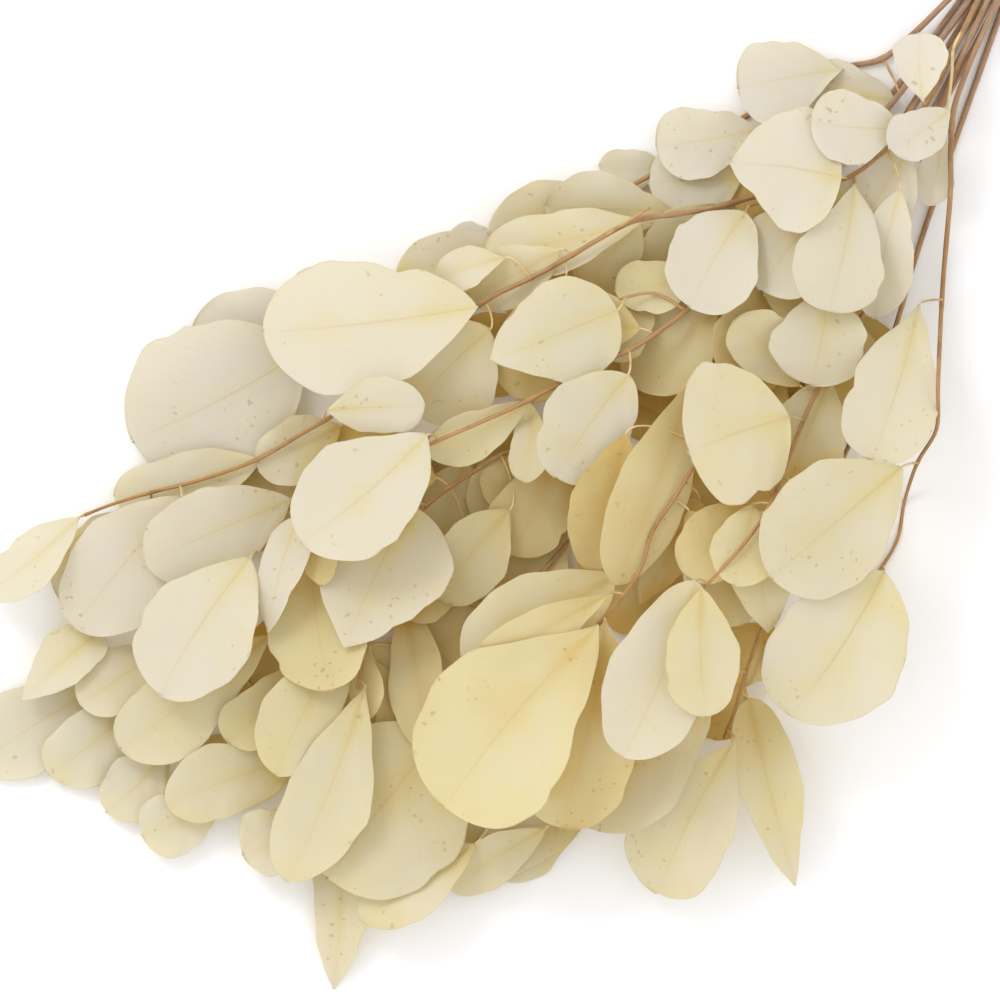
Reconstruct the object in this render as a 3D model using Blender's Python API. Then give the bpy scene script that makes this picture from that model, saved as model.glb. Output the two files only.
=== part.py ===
"""A bunch of dried broad-leaved eucalyptus that lies on its side, held by a band round the bare stems.

Eleven cut stems, each grown in one piece with its twigs, petioles and leaves, are laid down one after the
other. Each leaf comes down on what already lies there and keeps a small gap to it, so the stems' leaves
overlap in the order of the bunch and never cross another stem's. The bunch ends on the floor plane, with its
base centre at the origin.
"""

import math
import random
from collections import namedtuple

import bmesh
import bpy
import numpy as np
from mathutils import Vector

MM = 0.001

# All plan places and sizes are in mm, seen from above: x to the right, y away from the viewer.
TIE = (204.0, 218.0)
BARE_HEADING = 51.3
BARE_LENGTH = 112.0
SLOT_PITCH = 3.5
STEM_RADIUS = 1.5
TIP_RADIUS = 0.75
TWIG_RADIUS = 0.7

Leaf = namedtuple(
    "Leaf",
    "base tip width shape pitch roll fold under",
    defaults=("oval", 0.0, 0.0, 8.0, False),
)
Branch = namedtuple("Branch", "name slot stem leaves twigs fill", defaults=((), ()))

# Outline powers: how slim the blade is towards its base and towards its tip.
SHAPES = {
    "round": (0.62, 0.46),
    "egg": (1.0, 0.46),
    "oval": (0.82, 0.54),
    "point": (0.52, 0.9),
    "lance": (1.05, 0.62),
}

# Slots are (layer from the table up, place from left to right) in the tie.
# The branches lie on each other in this order, and so do the leaves of each branch.
BRANCHES = (
    Branch(
        "branch_far_left",
        (0, 0),
        ((120, 116), (56, 68), (-12, 24), (-68, -16), (-112, -56), (-140, -80), (-156, -88)),
        (
            Leaf((10, 30), (-34, -6), 42, "oval", 0, 0, 0, True),
            Leaf((-84, -42), (-102, -88), 26, "oval", 0, 0, 6, True),
            Leaf((-162, -76), (-210, -107), 35, "oval", 0, 6, 6),
            Leaf((-148, -84), (-181, -111), 30, "oval", 4, -6, 8),
            Leaf((-134, -102), (-158, -126), 26, "oval", 0, 8, 10),
            Leaf((-112, -122), (-144, -134), 26, "egg", 0, -8, 10),
            Leaf((-100, -96), (-126, -108), 18, "lance", 4, 20, 10),
            Leaf((-138, -60), (-169, -82), 26, "oval", 6, 6, 10),
            Leaf((-160, -52), (-192, -80), 22, "point", 4, -10, 12),
            Leaf((-80, -102), (-134, -122), 30, "oval", 2, -6, 8),
        ),
        (((-112, -56), (-118, -84), (-122, -102), (-116, -116)), ((-112, -56), (-96, -82), (-86, -96))),
        (0.42, -0.52, 0.62, -0.74),
    ),
    Branch(
        "branch_bottom",
        (0, 2),
        (
            (152, 116), (116, 68), (76, 28), (40, -4), (8, -40), (-14, -76), (-26, -98),
            (-42, -122), (-56, -140),
        ),
        (
            Leaf((24, -2), (-6, -54), 36, "oval", 0, 6, 8, True),
            Leaf((-4, -42), (-28, -62), 24, "oval", 4, 8, 8, True),
            Leaf((34, -16), (66, -48), 36, "round", 0, -6, 6, True),
            Leaf((30, -112), (-12, -148), 38, "oval", 0, 0, 7, True),
            Leaf((-64, -134), (-67, -197), 24, "point", -4, 16, 14),
            Leaf((-76, -129), (-103, -143), 29, "oval", 2, 6, 8),
            Leaf((34, -128), (-10, -145), 24, "oval", 2, 12, 8),
            Leaf((18, -132), (-20, -157), 20, "oval", 0, -10, 8),
            Leaf((-10, -138), (-56, -168), 24, "oval", 0, 10, 10),
            Leaf((-52, -62), (-29, -126), 24, "lance", 0, -12, 8),
            Leaf((-23, -93), (-69, -152), 70, "round", 2, -3, 6),
            Leaf((-39, -40), (-30, -100), 23, "oval", 2, 14, 10),
        ),
        (((-26, -98), (0, -116), (22, -124)), ((-42, -122), (-66, -112), (-78, -114))),
        (0.35, -0.44, 0.53, -0.62, 0.72, -0.82),
    ),
    Branch(
        "branch_lower_right",
        (0, 3),
        ((172, 112), (156, 60), (136, 12), (116, -28), (102, -60), (96, -80), (90, -96)),
        (
            Leaf((110, -50), (90, -72), 26, "oval", 0, 12, 8, True),
            Leaf((100, -80), (119, -155), 25, "point", -2, 12, 30),
            Leaf((98, -74), (84, -96), 17, "oval", 0, 16, 10, True),
            Leaf((94, -96), (63, -158), 40, "egg", 0, 6, 8),
            Leaf((83, -70), (32, -129), 48, "oval", 0, 4, 8),
        ),
        (),
        (-0.40, -0.52, -0.64, -0.78),
    ),
    Branch(
        "branch_lower_left",
        (0, 1),
        (
            (140, 120), (96, 76), (56, 44), (24, 26), (4, 20), (-23, 3), (-33, -5),
            (-46, -32), (-54, -56), (-57, -76),
        ),
        (
            Leaf((-15, -18), (-40, -46), 28, "oval", 0, 8, 8, True),
            Leaf((-56, -54), (-53, -88), 14, "lance", 0, 16, 14, True),
            Leaf((-92, -54), (-152, -100), 34, "egg", 2, -4, 7),
            Leaf((-83, -66), (-108, -98), 24, "egg", 0, 10, 9),
            Leaf((-64, -58), (-90, -110), 32, "oval", 2, -8, 10),
            Leaf((-54, -75), (-85, -153), 35, "lance", 2, 4, 8),
            Leaf((-76, -22), (-68, -76), 40, "oval", 2, 6, 6),
            Leaf((4, -4), (-24, -40), 30, "oval", 2, -8, 9),
            Leaf((18, 9), (-8, 6), 22, "round", 0, 12, 8, True),
            Leaf((-35, -2), (-62, -59), 52, "point", 2, 4, 8),
        ),
        (((-46, -32), (-70, -40), (-86, -50)),),
        (0.42, -0.54, 0.66, -0.78),
    ),
    Branch(
        "branch_upper_left",
        (1, 0),
        (
            (159, 181), (143, 176), (116, 164), (88, 148), (62, 131), (54, 127), (24, 110),
            (-8, 95), (-40, 80),
            (-66, 66), (-78, 57),
        ),
        (
            Leaf((-62, 77), (-82, 91), 15, "oval", 0, 12, 8, True),
            Leaf((-60, 58), (-124, 68), 42, "oval", 0, 4, 7, True),
            Leaf((0, 102), (-20, 107), 14, "oval", 0, 16, 8, True),
            Leaf((18, 102), (-42, 90), 26, "lance", 0, 12, 8, True),
            Leaf((49, 122), (-5, 107), 27, "lance", 0, -10, 8, True),
            Leaf((68, 134), (40, 134), 17, "oval", 0, 12, 8, True),
            Leaf((98, 130), (60, 128), 32, "oval", 0, 8, 8),
            Leaf((105, 149), (63, 142), 30, "egg", 0, -8, 9),
            Leaf((159, 161), (122, 168), 25, "oval", 0, 6, 8),
            Leaf((137, 173), (96, 165), 35, "egg", 2, 4, 9),
            Leaf((-77, 61), (-148, 24), 66, "oval", 0, -5, 6),
        ),
        (),
        (0.32, 0.48, 0.64, 0.8),
    ),
    Branch(
        "branch_left",
        (1, 1),
        (
            (140, 140), (96, 120), (68, 114), (52, 111), (24, 95), (11, 88), (-10, 77),
            (-40, 52), (-70, 32),
            (-88, 22), (-100, 15), (-124, 7), (-148, 1), (-167, -6),
        ),
        (
            Leaf((-96, 16), (-155, 1), 27, "oval", 0, 8, 7, True),
            Leaf((-142, -6), (-177, -40), 34, "oval", 0, -6, 7, True),
            Leaf((-94, 12), (-78, 0), 10, "lance", 0, 20, 8, True),
            Leaf((-64, 30), (-97, 12), 26, "oval", 0, -10, 8, True),
            Leaf((70, 116), (18, 118), 28, "lance", 0, -10, 9, True),
            Leaf((88, 118), (58, 92), 26, "oval", 0, -6, 8, True),
            Leaf((56, 112), (34, 84), 26, "oval", 0, -12, 9, True),
            Leaf((58, 112), (-6, 100), 26, "lance", 2, 10, 9, True),
            Leaf((24, 100), (-12, 80), 24, "oval", 0, 14, 12, True),
            Leaf((2, 97), (-26, 88), 17, "lance", 4, -14, 20, True),
            Leaf((-4, 68), (-35, 36), 42, "round", 0, 6, 8),
            Leaf((-9, 77), (-95, 67), 54, "oval", 0, 4, 6),
            Leaf((-69, 36), (-30, 37), 23, "oval", 4, 8, 9),
            Leaf((-128, 1), (-171, -51), 42, "oval", 0, 5, 7),
            Leaf((-169, -7), (-207, -38), 22, "oval", 4, 20, 20),
        ),
        (((40, 104), (46, 108), (60, 117)),),
        (0.34, 0.5),
    ),
    Branch(
        "branch_middle",
        (1, 2),
        (
            (144, 128), (104, 96), (76, 77), (56, 62), (37, 54), (12, 40), (-24, 24), (-52, 12), (-79, 1),
            (-90, -8), (-97, -20),
        ),
        (
            Leaf((87, 76), (51, 48), 34, "oval", 0, 8, 8, True),
            Leaf((62, 82), (40, 58), 24, "oval", 0, -10, 8, True),
            Leaf((80, 90), (46, 84), 22, "oval", 0, 6, 8, True),
            Leaf((-72, -4), (-71, -34), 14, "lance", 0, 16, 8, True),
            Leaf((12, 40), (10, 7), 17, "lance", 0, 24, 26, True),
            Leaf((12, 39), (-29, 18), 20, "lance", 0, -10, 12, True),
            Leaf((-84, 0), (-142, -25), 38, "oval", 0, -5, 8),
            Leaf((-81, -7), (-93, -53), 18, "point", 0, 14, 16),
            Leaf((-100, -23), (-136, -78), 45, "oval", 0, 5, 7),
            Leaf((-29, 26), (-79, -17), 46, "oval", 2, 5, 7),
            Leaf((47, 76), (-4, 56), 42, "point", 0, -5, 7),
            Leaf((51, 50), (22, 9), 38, "round", 0, 6, 7),
        ),
        (((72, 76), (58, 84), (46, 80)),),
        (0.4, -0.54),
    ),
    Branch(
        "branch_centre",
        (1, 3),
        (
            (152, 112), (120, 64), (94, 36), (79, 16), (69, 0), (62, -8), (58, -24), (46, -42), (39, -50),
        ),
        (
            Leaf((50, 26), (36, -28), 28, "oval", 0, 10, 10, True),
            Leaf((46, -30), (-13, -69), 42, "oval", 0, 8, 8, True),
            Leaf((80, 0), (56, -42), 20, "point", 2, 16, 12, True),
            Leaf((78, 52), (46, -34), 30, "lance", -2, -20, 16, True),
            Leaf((42, -48), (24, -131), 44, "egg", 0, -8, 9),
            Leaf((44, -37), (-10, -67), 20, "lance", 2, -14, 12),
            Leaf((39, -50), (-22, -122), 64, "egg", 0, 4, 6),
        ),
        (),
        (0.48, 0.82),
    ),
    Branch(
        "branch_centre_right",
        (2, 1),
        ((177, 158), (160, 104), (131, 48), (125, 40), (110, 4), (104, -8), (93, -22), (80, -36)),
        (
            Leaf((100, -2), (74, -30), 28, "oval", 0, 10, 9, True),
            Leaf((120, 46), (94, 72), 27, "oval", 4, -10, 9, True),
            Leaf((104, -6), (107, -53), 28, "point", 0, 8, 9, True),
            Leaf((101, -2), (93, -34), 26, "oval", 2, -8, 8, True),
            Leaf((132, 48), (116, 3), 34, "oval", 0, -8, 8, True),
            Leaf((78, -32), (49, -102), 40, "round", 0, 8, 8),
            Leaf((80, -35), (82, -86), 30, "oval", 0, -10, 9),
            Leaf((131, 82), (124, 46), 38, "round", 0, 6, 8),
            Leaf((115, 33), (75, 19), 58, "round", 0, 4, 6),
        ),
        (),
        (-0.46, 0.8),
    ),
    Branch(
        "branch_right",
        (2, 2),
        (
            (183, 160), (181, 128), (178, 84), (175, 48), (174, 23), (168, 16), (162, -4),
            (160, -16), (152, -30),
        ),
        (
            Leaf((178, 146), (172, 118), 15, "oval", 0, 20, 12, True),
            Leaf((168, 78), (148, 16), 38, "egg", -2, 6, 8, True),
            Leaf((153, -29), (116, -86), 53, "round", -3, 4, 7),
            Leaf((160, 13), (108, -31), 50, "oval", -2, -4, 7),
        ),
        (),
        (),
    ),
    Branch(
        "branch_front",
        (2, 0),
        ((172, 160), (162, 148), (152, 138), (142, 130), (132, 128), (114, 124), (100, 118)),
        (
            Leaf((130, 118), (104, 84), 36, "oval", 0, 8, 8, True),
            Leaf((164, 140), (140, 102), 32, "oval", 0, 0, 8, True),
            Leaf((160, 124), (150, 73), 24, "oval", 0, 20, 16),
            Leaf((142, 126), (131, 75), 37, "egg", 0, -8, 12),
            Leaf((98, 115), (76, 77), 38, "round", 0, 5, 8),
            Leaf((136, 129), (92, 135), 50, "point", 0, 5, 7),
            Leaf((160, 149), (124, 151), 30, "oval", 0, -8, 9),
            Leaf((180, 156), (156, 140), 21, "oval", 2, 10, 9),
            Leaf((169, 160), (168, 187), 22, "egg", 2, -6, 8),
        ),
        (((142, 130), (142, 122)), ((188, 192), (182, 181), (181, 166), (177, 148))),
        (),
    ),
)
SLOT_HEIGHT = 2.9
BLADE = 0.8
STALK = 0.6
NECK = 0.6
CLEAR = 1.8
OWN_CLEAR = 0.3
CELL = 2.0
GRID_LOW = (-250.0, -240.0)
GRID_HIGH = (250.0, 260.0)
STATIONS = (0.0, 0.13, 0.38, 0.68, 1.0)
ARCH = 0.35
FOLLOW = 0.6
MOST_LEAN = 0.3
STEP = 4.0
BEND = 14.0
SAG = 0.12
TIE_EASE = 44.0
TWIG_EASE = 12.0
MATES_END = 110.0
DROOP = 5.0
HANG = 0.5
SEED = 7
STEM_RINGS = 4
TWIG_RINGS = 3
SHORT_BLADE = 36.0
FEW_STATIONS = (0.0, 0.2, 0.6, 1.0)
MOST_LIFT = 24.0
REACH = 6.0
ASIDE = 0.8
TIP_COST = 22.0
TIP_UPS = (0.0, 0.1, 0.2, 0.3, 0.4, 0.5, 0.6, -0.1, -0.2, -0.3)
SPREAD = 0.35
STAGGER = 9.0
LAYER_SPREAD = 1.2
STEM_SIDES = 5
SOLVER = "MANIFOLD"
BAND_AT = 4.0
BAND_GAP = 0.3
BAND_THICK = 1.1
BAND_WIDE = 5.0
BAND_CORNER = 3
LEAF_COLOUR = (0.78, 0.72, 0.58)
BAND_COLOUR = (0.62, 0.5, 0.34)
LEAST_TURN = 0.1


def heading(start, end):
    """Length from start to end in plan, and its unit direction."""
    dx, dy = end[0] - start[0], end[1] - start[1]
    run = math.hypot(dx, dy)
    return run, (dx / run, dy / run)


def smooth_path(points, step):
    """A curve through the plan points, sampled evenly about every step."""
    guide = np.array([points[0], *points, points[-1]], dtype=float)
    curve = []
    for p0, p1, p2, p3 in zip(guide, guide[1:], guide[2:], guide[3:]):
        for u in np.linspace(0.0, 1.0, 8, endpoint=False):
            curve.append(
                0.5
                * (
                    2 * p1
                    + (p2 - p0) * u
                    + (2 * p0 - 5 * p1 + 4 * p2 - p3) * u**2
                    + (3 * p1 - p0 - 3 * p2 + p3) * u**3
                )
            )
    curve = np.array([*curve, guide[-1]])
    gone = np.concatenate([[0.0], np.cumsum(np.hypot(*np.diff(curve, axis=0).T))])
    even = np.linspace(0.0, gone[-1], max(3, round(gone[-1] / step) + 1))
    return np.stack([np.interp(even, gone, curve[:, k]) for k in (0, 1)], axis=1)


def slot_place(slot):
    """Where a stem passes the tie: plan place and height of its middle line."""
    layer, place = slot
    turn = math.radians(BARE_HEADING)
    shift = (1.5 - place - 0.5 * (layer == 2)) * SLOT_PITCH
    middle = (TIE[0] - math.sin(turn) * shift, TIE[1] + math.cos(turn) * shift)
    return middle, SLOT_HEIGHT + layer * SLOT_PITCH


def cells(plan):
    """Grid cells of plan places."""
    return tuple(((np.asarray(plan) - GRID_LOW) / CELL).round().astype(int).T)


class Pile:
    """Heights over a plan grid: top of the branches that already lie there, own of the branch that is
    laid now. Stems that share a layer of the tie run side by side near it, so apart leaves them out there."""

    def __init__(self):
        size = [round((high - low) / CELL) + 1 for low, high in zip(GRID_LOW, GRID_HIGH)]
        self.top = np.full(size, -CLEAR)
        self.apart = self.top.copy()
        self.own = self.top.copy()
        self.own_apart = self.top.copy()

    def floor(self, plan, mates=False):
        """How low a piece's underside may come over plan places. mates leaves out stems side by side."""
        where = cells(plan)
        others = (self.apart if mates else self.top)[where] + CLEAR
        return np.maximum(others, self.own[where] + OWN_CLEAR)

    def add(self, points, mates=False):
        """Lays down points (x, y, height), each over its own cell and those round it."""
        column, row = cells(points[:, :2])
        for grid in (self.own,) if mates else (self.own, self.own_apart):
            for i in (-1, 0, 1):
                for j in (-1, 0, 1):
                    np.maximum.at(grid, (column + i, row + j), points[:, 2])

    def close_branch(self):
        """The branch that was laid becomes a part of the pile."""
        self.top = np.maximum(self.top, self.own)
        self.apart = np.maximum(self.apart, self.own_apart)
        self.own = np.full(self.top.shape, -CLEAR)
        self.own_apart = self.own.copy()


def blade_outline(shape, t):
    """Half width of a blade at t from base to tip, as a share of its widest."""
    blunt_base, blunt_tip = SHAPES[shape]
    widest = blunt_base / (blunt_base + blunt_tip)
    t = np.clip(t, 0.0, 1.0)
    return (t / widest) ** blunt_base * ((1 - t) / (1 - widest)) ** blunt_tip


def blade_points(leaf, slopes, t, s):
    """Points of a blade: x, y in plan and the rise over its base. t runs from base to tip, s across."""
    run, along = heading(leaf.base, leaf.tip)
    across = (-along[1], along[0])
    reach = run * t
    half = np.maximum(0.5 * leaf.width * blade_outline(leaf.shape, t), NECK)
    side = half * s
    fold = math.tan(math.radians(leaf.fold))
    rise = slopes[0] * reach + slopes[1] * side + fold * abs(side) + ARCH * fold * run * 4 * t * (1 - t)
    return np.stack(
        [
            leaf.base[0] + along[0] * reach + across[0] * side,
            leaf.base[1] + along[1] * reach + across[1] * side,
            rise,
        ],
        axis=-1,
    )


def blade_net(leaf, slopes):
    """The few points that the plain blade is built on: stations from base to tip by left, rib, right."""
    run, _ = heading(leaf.base, leaf.tip)
    t = np.array(STATIONS if run > SHORT_BLADE and not leaf.under else FEW_STATIONS)[:, None]
    return blade_points(leaf, slopes, t, np.array([1.0, 0.0, -1.0])[None, :])


def blade_samples(net):
    """Points all over the plain blade."""
    fine = np.linspace(0, len(net) - 1, 8 * (len(net) - 1) + 1)
    rows = np.stack([np.stack([np.interp(fine, range(len(net)), net[:, j, k]) for k in (0, 1, 2)], -1)
                     for j in (0, 1, 2)], 1)
    share = np.linspace(0, 2, 21)
    return np.concatenate(
        [np.stack([np.interp(share, (0, 1, 2), row[:, k]) for k in (0, 1, 2)], -1) for row in rows]
    )


def pile_slope(pile, leaf, plan):
    """How the pile leans under a blade, along it and across it."""
    heights = pile.floor(plan)
    lean = np.linalg.lstsq(np.column_stack([plan, np.ones(len(plan))]), heights, rcond=None)[0][:2]
    _, along = heading(leaf.base, leaf.tip)
    steep = np.array([lean @ along, lean @ (-along[1], along[0])])
    return np.clip(FOLLOW * steep, -MOST_LEAN, MOST_LEAN)


def lay_leaf(pile, leaf, root):
    """Slopes and base height of a leaf that comes down on the pile. It tips up or down, so that its base
    stays near root, the place on the stem where its petiole starts."""
    gap = math.hypot(root[0] - leaf.base[0], root[1] - leaf.base[1])
    hang = root[2] - DROOP - HANG * gap
    own = np.tan(np.radians([leaf.pitch, leaf.roll]))
    plan = blade_samples(blade_net(leaf, own))[:, :2]
    own = own + pile_slope(pile, leaf, plan)
    best = None
    for tip_up in TIP_UPS:
        slopes = own + (tip_up, 0.0)
        samples = blade_samples(blade_net(leaf, slopes))
        needed = pile.floor(samples[:, :2]) + BLADE - samples[:, 2]
        height = max(needed.max(), hang)
        cost = max(0.0, height - root[2] - REACH) + TIP_COST * abs(tip_up)
        if best is None or cost < best[0]:
            best = (cost, slopes, height, samples)
    _, slopes, height, samples = best
    pile.add(samples + (0.0, 0.0, height))
    return slopes, height


def stem_heights(pile, plan, radius, start, mates=True):
    """Heights of a stem's middle line: clear of the pile, without sharp bends, from start at the tie."""
    needed = pile.floor(plan, mates) + radius
    spread = round(BEND / STEP)
    padded = np.pad(needed, 2 * spread, mode="edge")
    highest = np.lib.stride_tricks.sliding_window_view(padded, 2 * spread + 1).max(axis=1)
    eased = np.lib.stride_tricks.sliding_window_view(highest, 2 * spread + 1).mean(axis=1)
    gone = STEP * np.arange(len(plan))
    eased = np.maximum(eased, start - SAG * gone)
    share = np.clip(gone / TIE_EASE, 0, 1)
    share = share * share * (3 - 2 * share)
    return start + share * (eased - start)


def ring_picks(count, every):
    """Which points of a line carry a ring of the plain stem."""
    return [*range(0, count - every + 1, every), count - 1]


def between_rings(line, every):
    """The same line, straight from ring to ring."""
    picks = ring_picks(len(line), every)
    return np.stack([np.interp(range(len(line)), picks, line[picks, k]) for k in (0, 1, 2)], axis=1)


def lay_stem(pile, plan, radius, start):
    """Lays a stem on the pile and gives its middle line."""
    line = np.column_stack([plan, stem_heights(pile, plan, radius, start)])
    line = between_rings(line, STEM_RINGS)
    plan = line[:, :2]
    near = STEP * np.arange(len(plan)) < MATES_END
    tops = []
    for side in (-1.0, 0.0, 1.0):
        direction = np.gradient(plan, axis=0)
        direction /= np.linalg.norm(direction, axis=1)[:, None]
        offset = np.column_stack([-direction[:, 1], direction[:, 0]]) * (side * radius)[:, None]
        tops.append(np.column_stack([plan + offset, line[:, 2] + radius]))
    tops = np.stack(tops)
    pile.add(tops[:, near].reshape(-1, 3), mates=True)
    if (~near).any():
        pile.add(tops[:, ~near].reshape(-1, 3))
    return line


def nearest(lines, place):
    """The point of the stem and twigs nearest a plan place."""
    points = np.concatenate(lines)
    return points[np.hypot(points[:, 0] - place[0], points[:, 1] - place[1]).argmin()]


def leaf_root(lines, leaf):
    """The point of the stem and twigs that a leaf grows from: near its base, and behind it, not beside it."""
    points = np.concatenate(lines)
    _, along = heading(leaf.base, leaf.tip)
    way = np.array(leaf.base) - points[:, :2]
    gap = np.hypot(*way.T)
    return points[(gap + ASIDE * (gap - way @ along)).argmin()]


def leaf_stalk(pile, leaf, height, root):
    """A petiole from the stem to the blade: root, a bend behind the blade, and the blade's base."""
    _, along = heading(leaf.base, leaf.tip)
    base = np.array([*leaf.base, height])
    gap = math.hypot(base[0] - root[0], base[1] - root[1])
    bend = 0.5 * (base + root)
    bend[:2] -= 0.25 * gap * np.array(along)
    line = np.array([root, bend, base])
    share = np.linspace(0, 1, 9)
    for part in (0, 1):
        points = line[part] + share[:, None] * (line[part + 1] - line[part])
        lack = pile.top[cells(points[:, :2])] + CLEAR + STALK - points[:, 2]
        pull = share if part == 0 else 1 - share
        worth = pull > 0.4
        line[1, 2] += np.clip((lack[worth] / pull[worth]).max(), 0.0, MOST_LIFT)
    return line


def stalk_points(line):
    share = np.linspace(0, 1, 13)[:, None]
    points = np.concatenate([line[0] + share * (line[1] - line[0]), line[1] + share * (line[2] - line[1])])
    return points + (0, 0, STALK)


def hidden_leaves(branch, line, rng):
    """Plain leaves low down on a stem, on the side that each sign gives, that fill the bunch."""
    leaves = []
    for share in branch.fill:
        place = int(abs(share) * (len(line) - 2))
        _, ahead = heading(line[place], line[place + 1])
        turn = math.copysign(math.radians(rng.uniform(38, 62)), share)
        way = math.atan2(ahead[1], ahead[0]) + turn
        base = (line[place][0] + 9 * math.cos(way), line[place][1] + 9 * math.sin(way))
        length = rng.uniform(44, 54)
        tip = (base[0] + length * math.cos(way), base[1] + length * math.sin(way))
        width, pitch, roll = rng.uniform(32, 40), rng.uniform(-3, 3), rng.uniform(-8, 8)
        leaves.append(Leaf(base, tip, width, "oval", pitch, roll, 6, True))
    return leaves


def lay_branch(pile, branch, rng):
    """Lays one branch on the pile: low leaves, stem and twigs, then the leaves that lie over them."""
    middle, start = slot_place(branch.slot)
    plan = smooth_path((middle, *branch.stem), STEP)
    radius = np.linspace(STEM_RADIUS, TIP_RADIUS, len(plan))
    rough = np.column_stack([plan, stem_heights(pile, plan, radius, start)])
    twigs = [smooth_path(path, STEP) for path in branch.twigs]
    low = [leaf for leaf in branch.leaves if leaf.under] + hidden_leaves(branch, plan, rng)
    laid = []
    for leaf in low:
        laid.append((leaf, *lay_leaf(pile, leaf, leaf_root([rough], leaf))))
    lines = [lay_stem(pile, plan, radius, start)]
    for path in twigs:
        root = nearest(lines[:1], path[0])
        lines.append(lay_twig(pile, path, root))
    stalks = []
    for leaf, _, height in laid:
        stalks.append(leaf_stalk(pile, leaf, height, leaf_root(lines, leaf)))
        pile.add(stalk_points(stalks[-1]))
    for leaf in branch.leaves:
        if not leaf.under:
            root = leaf_root(lines, leaf)
            slopes, height = lay_leaf(pile, leaf, root)
            laid.append((leaf, slopes, height))
            stalks.append(leaf_stalk(pile, leaf, height, root))
            pile.add(stalk_points(stalks[-1]))
    pile.close_branch()
    return lines, [(*item, stalk) for item, stalk in zip(laid, stalks)]


def lay_twig(pile, path, root):
    """A side twig that starts in the stem's middle and lies on the pile."""
    radius = np.full(len(path), TWIG_RADIUS)
    height = stem_heights(pile, path, radius, root[2], mates=False)
    share = np.clip(STEP * np.arange(len(path)) / TWIG_EASE, 0, 1)
    line = np.column_stack([path, root[2] + share * (height - root[2])])
    line[0, :2] = root[:2]
    line = between_rings(line, TWIG_RINGS)
    pile.add(line + (0, 0, TWIG_RADIUS))
    return line


def lay_bunch():
    """All branches, from the lowest up: their stem lines, and each leaf with slopes, height and petiole."""
    pile = Pile()
    rng = random.Random(SEED)
    layer = 0
    bunch = []
    for branch in BRANCHES:
        if branch.slot[0] != layer:
            layer = branch.slot[0]
            pile.apart = pile.top.copy()
        bunch.append((branch, *lay_branch(pile, branch, rng)))
    return bunch


def unit_rows(rows):
    return rows / np.linalg.norm(rows, axis=-1, keepdims=True)


def ring_faces(first, second, count):
    """Two triangles for each side between two rings of points."""
    faces = []
    for k in range(count):
        j = (k + 1) % count
        faces.append((first + k, first + j, second + j))
        faces.append((first + k, second + j, second + k))
    return faces


def cap_faces(first, count, forward):
    """A fan that closes a ring: forward looks along the piece."""
    fan = [(first, first + k, first + k + 1) for k in range(1, count - 1)]
    return fan if forward else [(a, c, b) for a, b, c in fan]


def tube(line, radius, sides):
    """Closed mesh round a middle line."""
    along = unit_rows(np.gradient(line, axis=0))
    level = unit_rows(np.cross(along, (0.0, 0.0, 1.0)))
    up = np.cross(level, along)
    points = []
    for middle, flat, high, size in zip(line, level, up, radius):
        for k in range(sides):
            turn = 2 * math.pi * (k + 0.5) / sides
            points.append(middle + size * (math.cos(turn) * flat + math.sin(turn) * high))
    faces = cap_faces(0, sides, True)
    for k in range(len(line) - 1):
        faces += [(a, c, b) for a, b, c in ring_faces(sides * k, sides * (k + 1), sides)]
    faces += cap_faces(sides * (len(line) - 1), sides, False)
    return points, faces


def turned(side, old, new):
    """A side direction, carried from one direction of travel to the next by the shortest turn."""
    return unit_rows(side - (side @ new) / max(1 + old @ new, LEAST_TURN) * (old + new))


def stalk_ring(middle, ahead, side):
    """Six points round a petiole, in the order of a blade's ring."""
    across = side * STALK
    up = np.cross(ahead, across)
    return [
        middle + across + 0.5 * up,
        middle + up,
        middle - across + 0.5 * up,
        middle - across - 0.5 * up,
        middle - up,
        middle + across - 0.5 * up,
    ]


def leaf_mesh(leaf, slopes, height, stalk):
    """Closed mesh of a petiole and its blade: rings of six points, then the tip's two."""
    net = blade_net(leaf, slopes) + (0.0, 0.0, height)
    along = np.gradient(net, axis=0)
    across = np.gradient(net, axis=1)
    under = net + BLADE * unit_rows(np.cross(along, across))
    _, (x, y) = heading(leaf.base, leaf.tip)
    ways = [np.array([x, y, 0.0]), unit_rows(stalk[2] - stalk[0]), unit_rows(stalk[1] - stalk[0])]
    side = np.array([-y, x, 0.0])
    points = []
    for middle, old, new in zip((stalk[1], stalk[0]), ways, ways[1:]):
        side = turned(side, old, new)
        points = stalk_ring(middle, new, side) + points
    for top, bottom in zip(net[:-1], under[:-1]):
        points += [top[0], top[1], top[2], bottom[2], bottom[1], bottom[0]]
    points += [net[-1][1], under[-1][1]]
    rings = len(points) // 6
    faces = cap_faces(0, 6, False)
    for k in range(rings - 1):
        faces += ring_faces(6 * k, 6 * (k + 1), 6)
    last, tip = 6 * (rings - 1), 6 * rings
    for k in (0, 1):
        faces.append((last + k, last + k + 1, tip))
        faces.append((last + 3 + k, last + 4 + k, tip + 1))
    faces += [(last + 2, last + 3, tip + 1), (last + 2, tip + 1, tip)]
    faces += [(last + 5, last, tip), (last + 5, tip, tip + 1)]
    return points, faces


def add_object(name, points, faces, collection, material):
    mesh = bpy.data.meshes.new(name)
    mesh.from_pydata([Vector(point) * MM for point in points], [], faces)
    build = bmesh.new()
    build.from_mesh(mesh)
    bmesh.ops.recalc_face_normals(build, faces=build.faces)
    build.to_mesh(mesh)
    build.free()
    mesh.materials.append(material)
    piece = bpy.data.objects.new(name, mesh)
    collection.objects.link(piece)
    return piece


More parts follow.
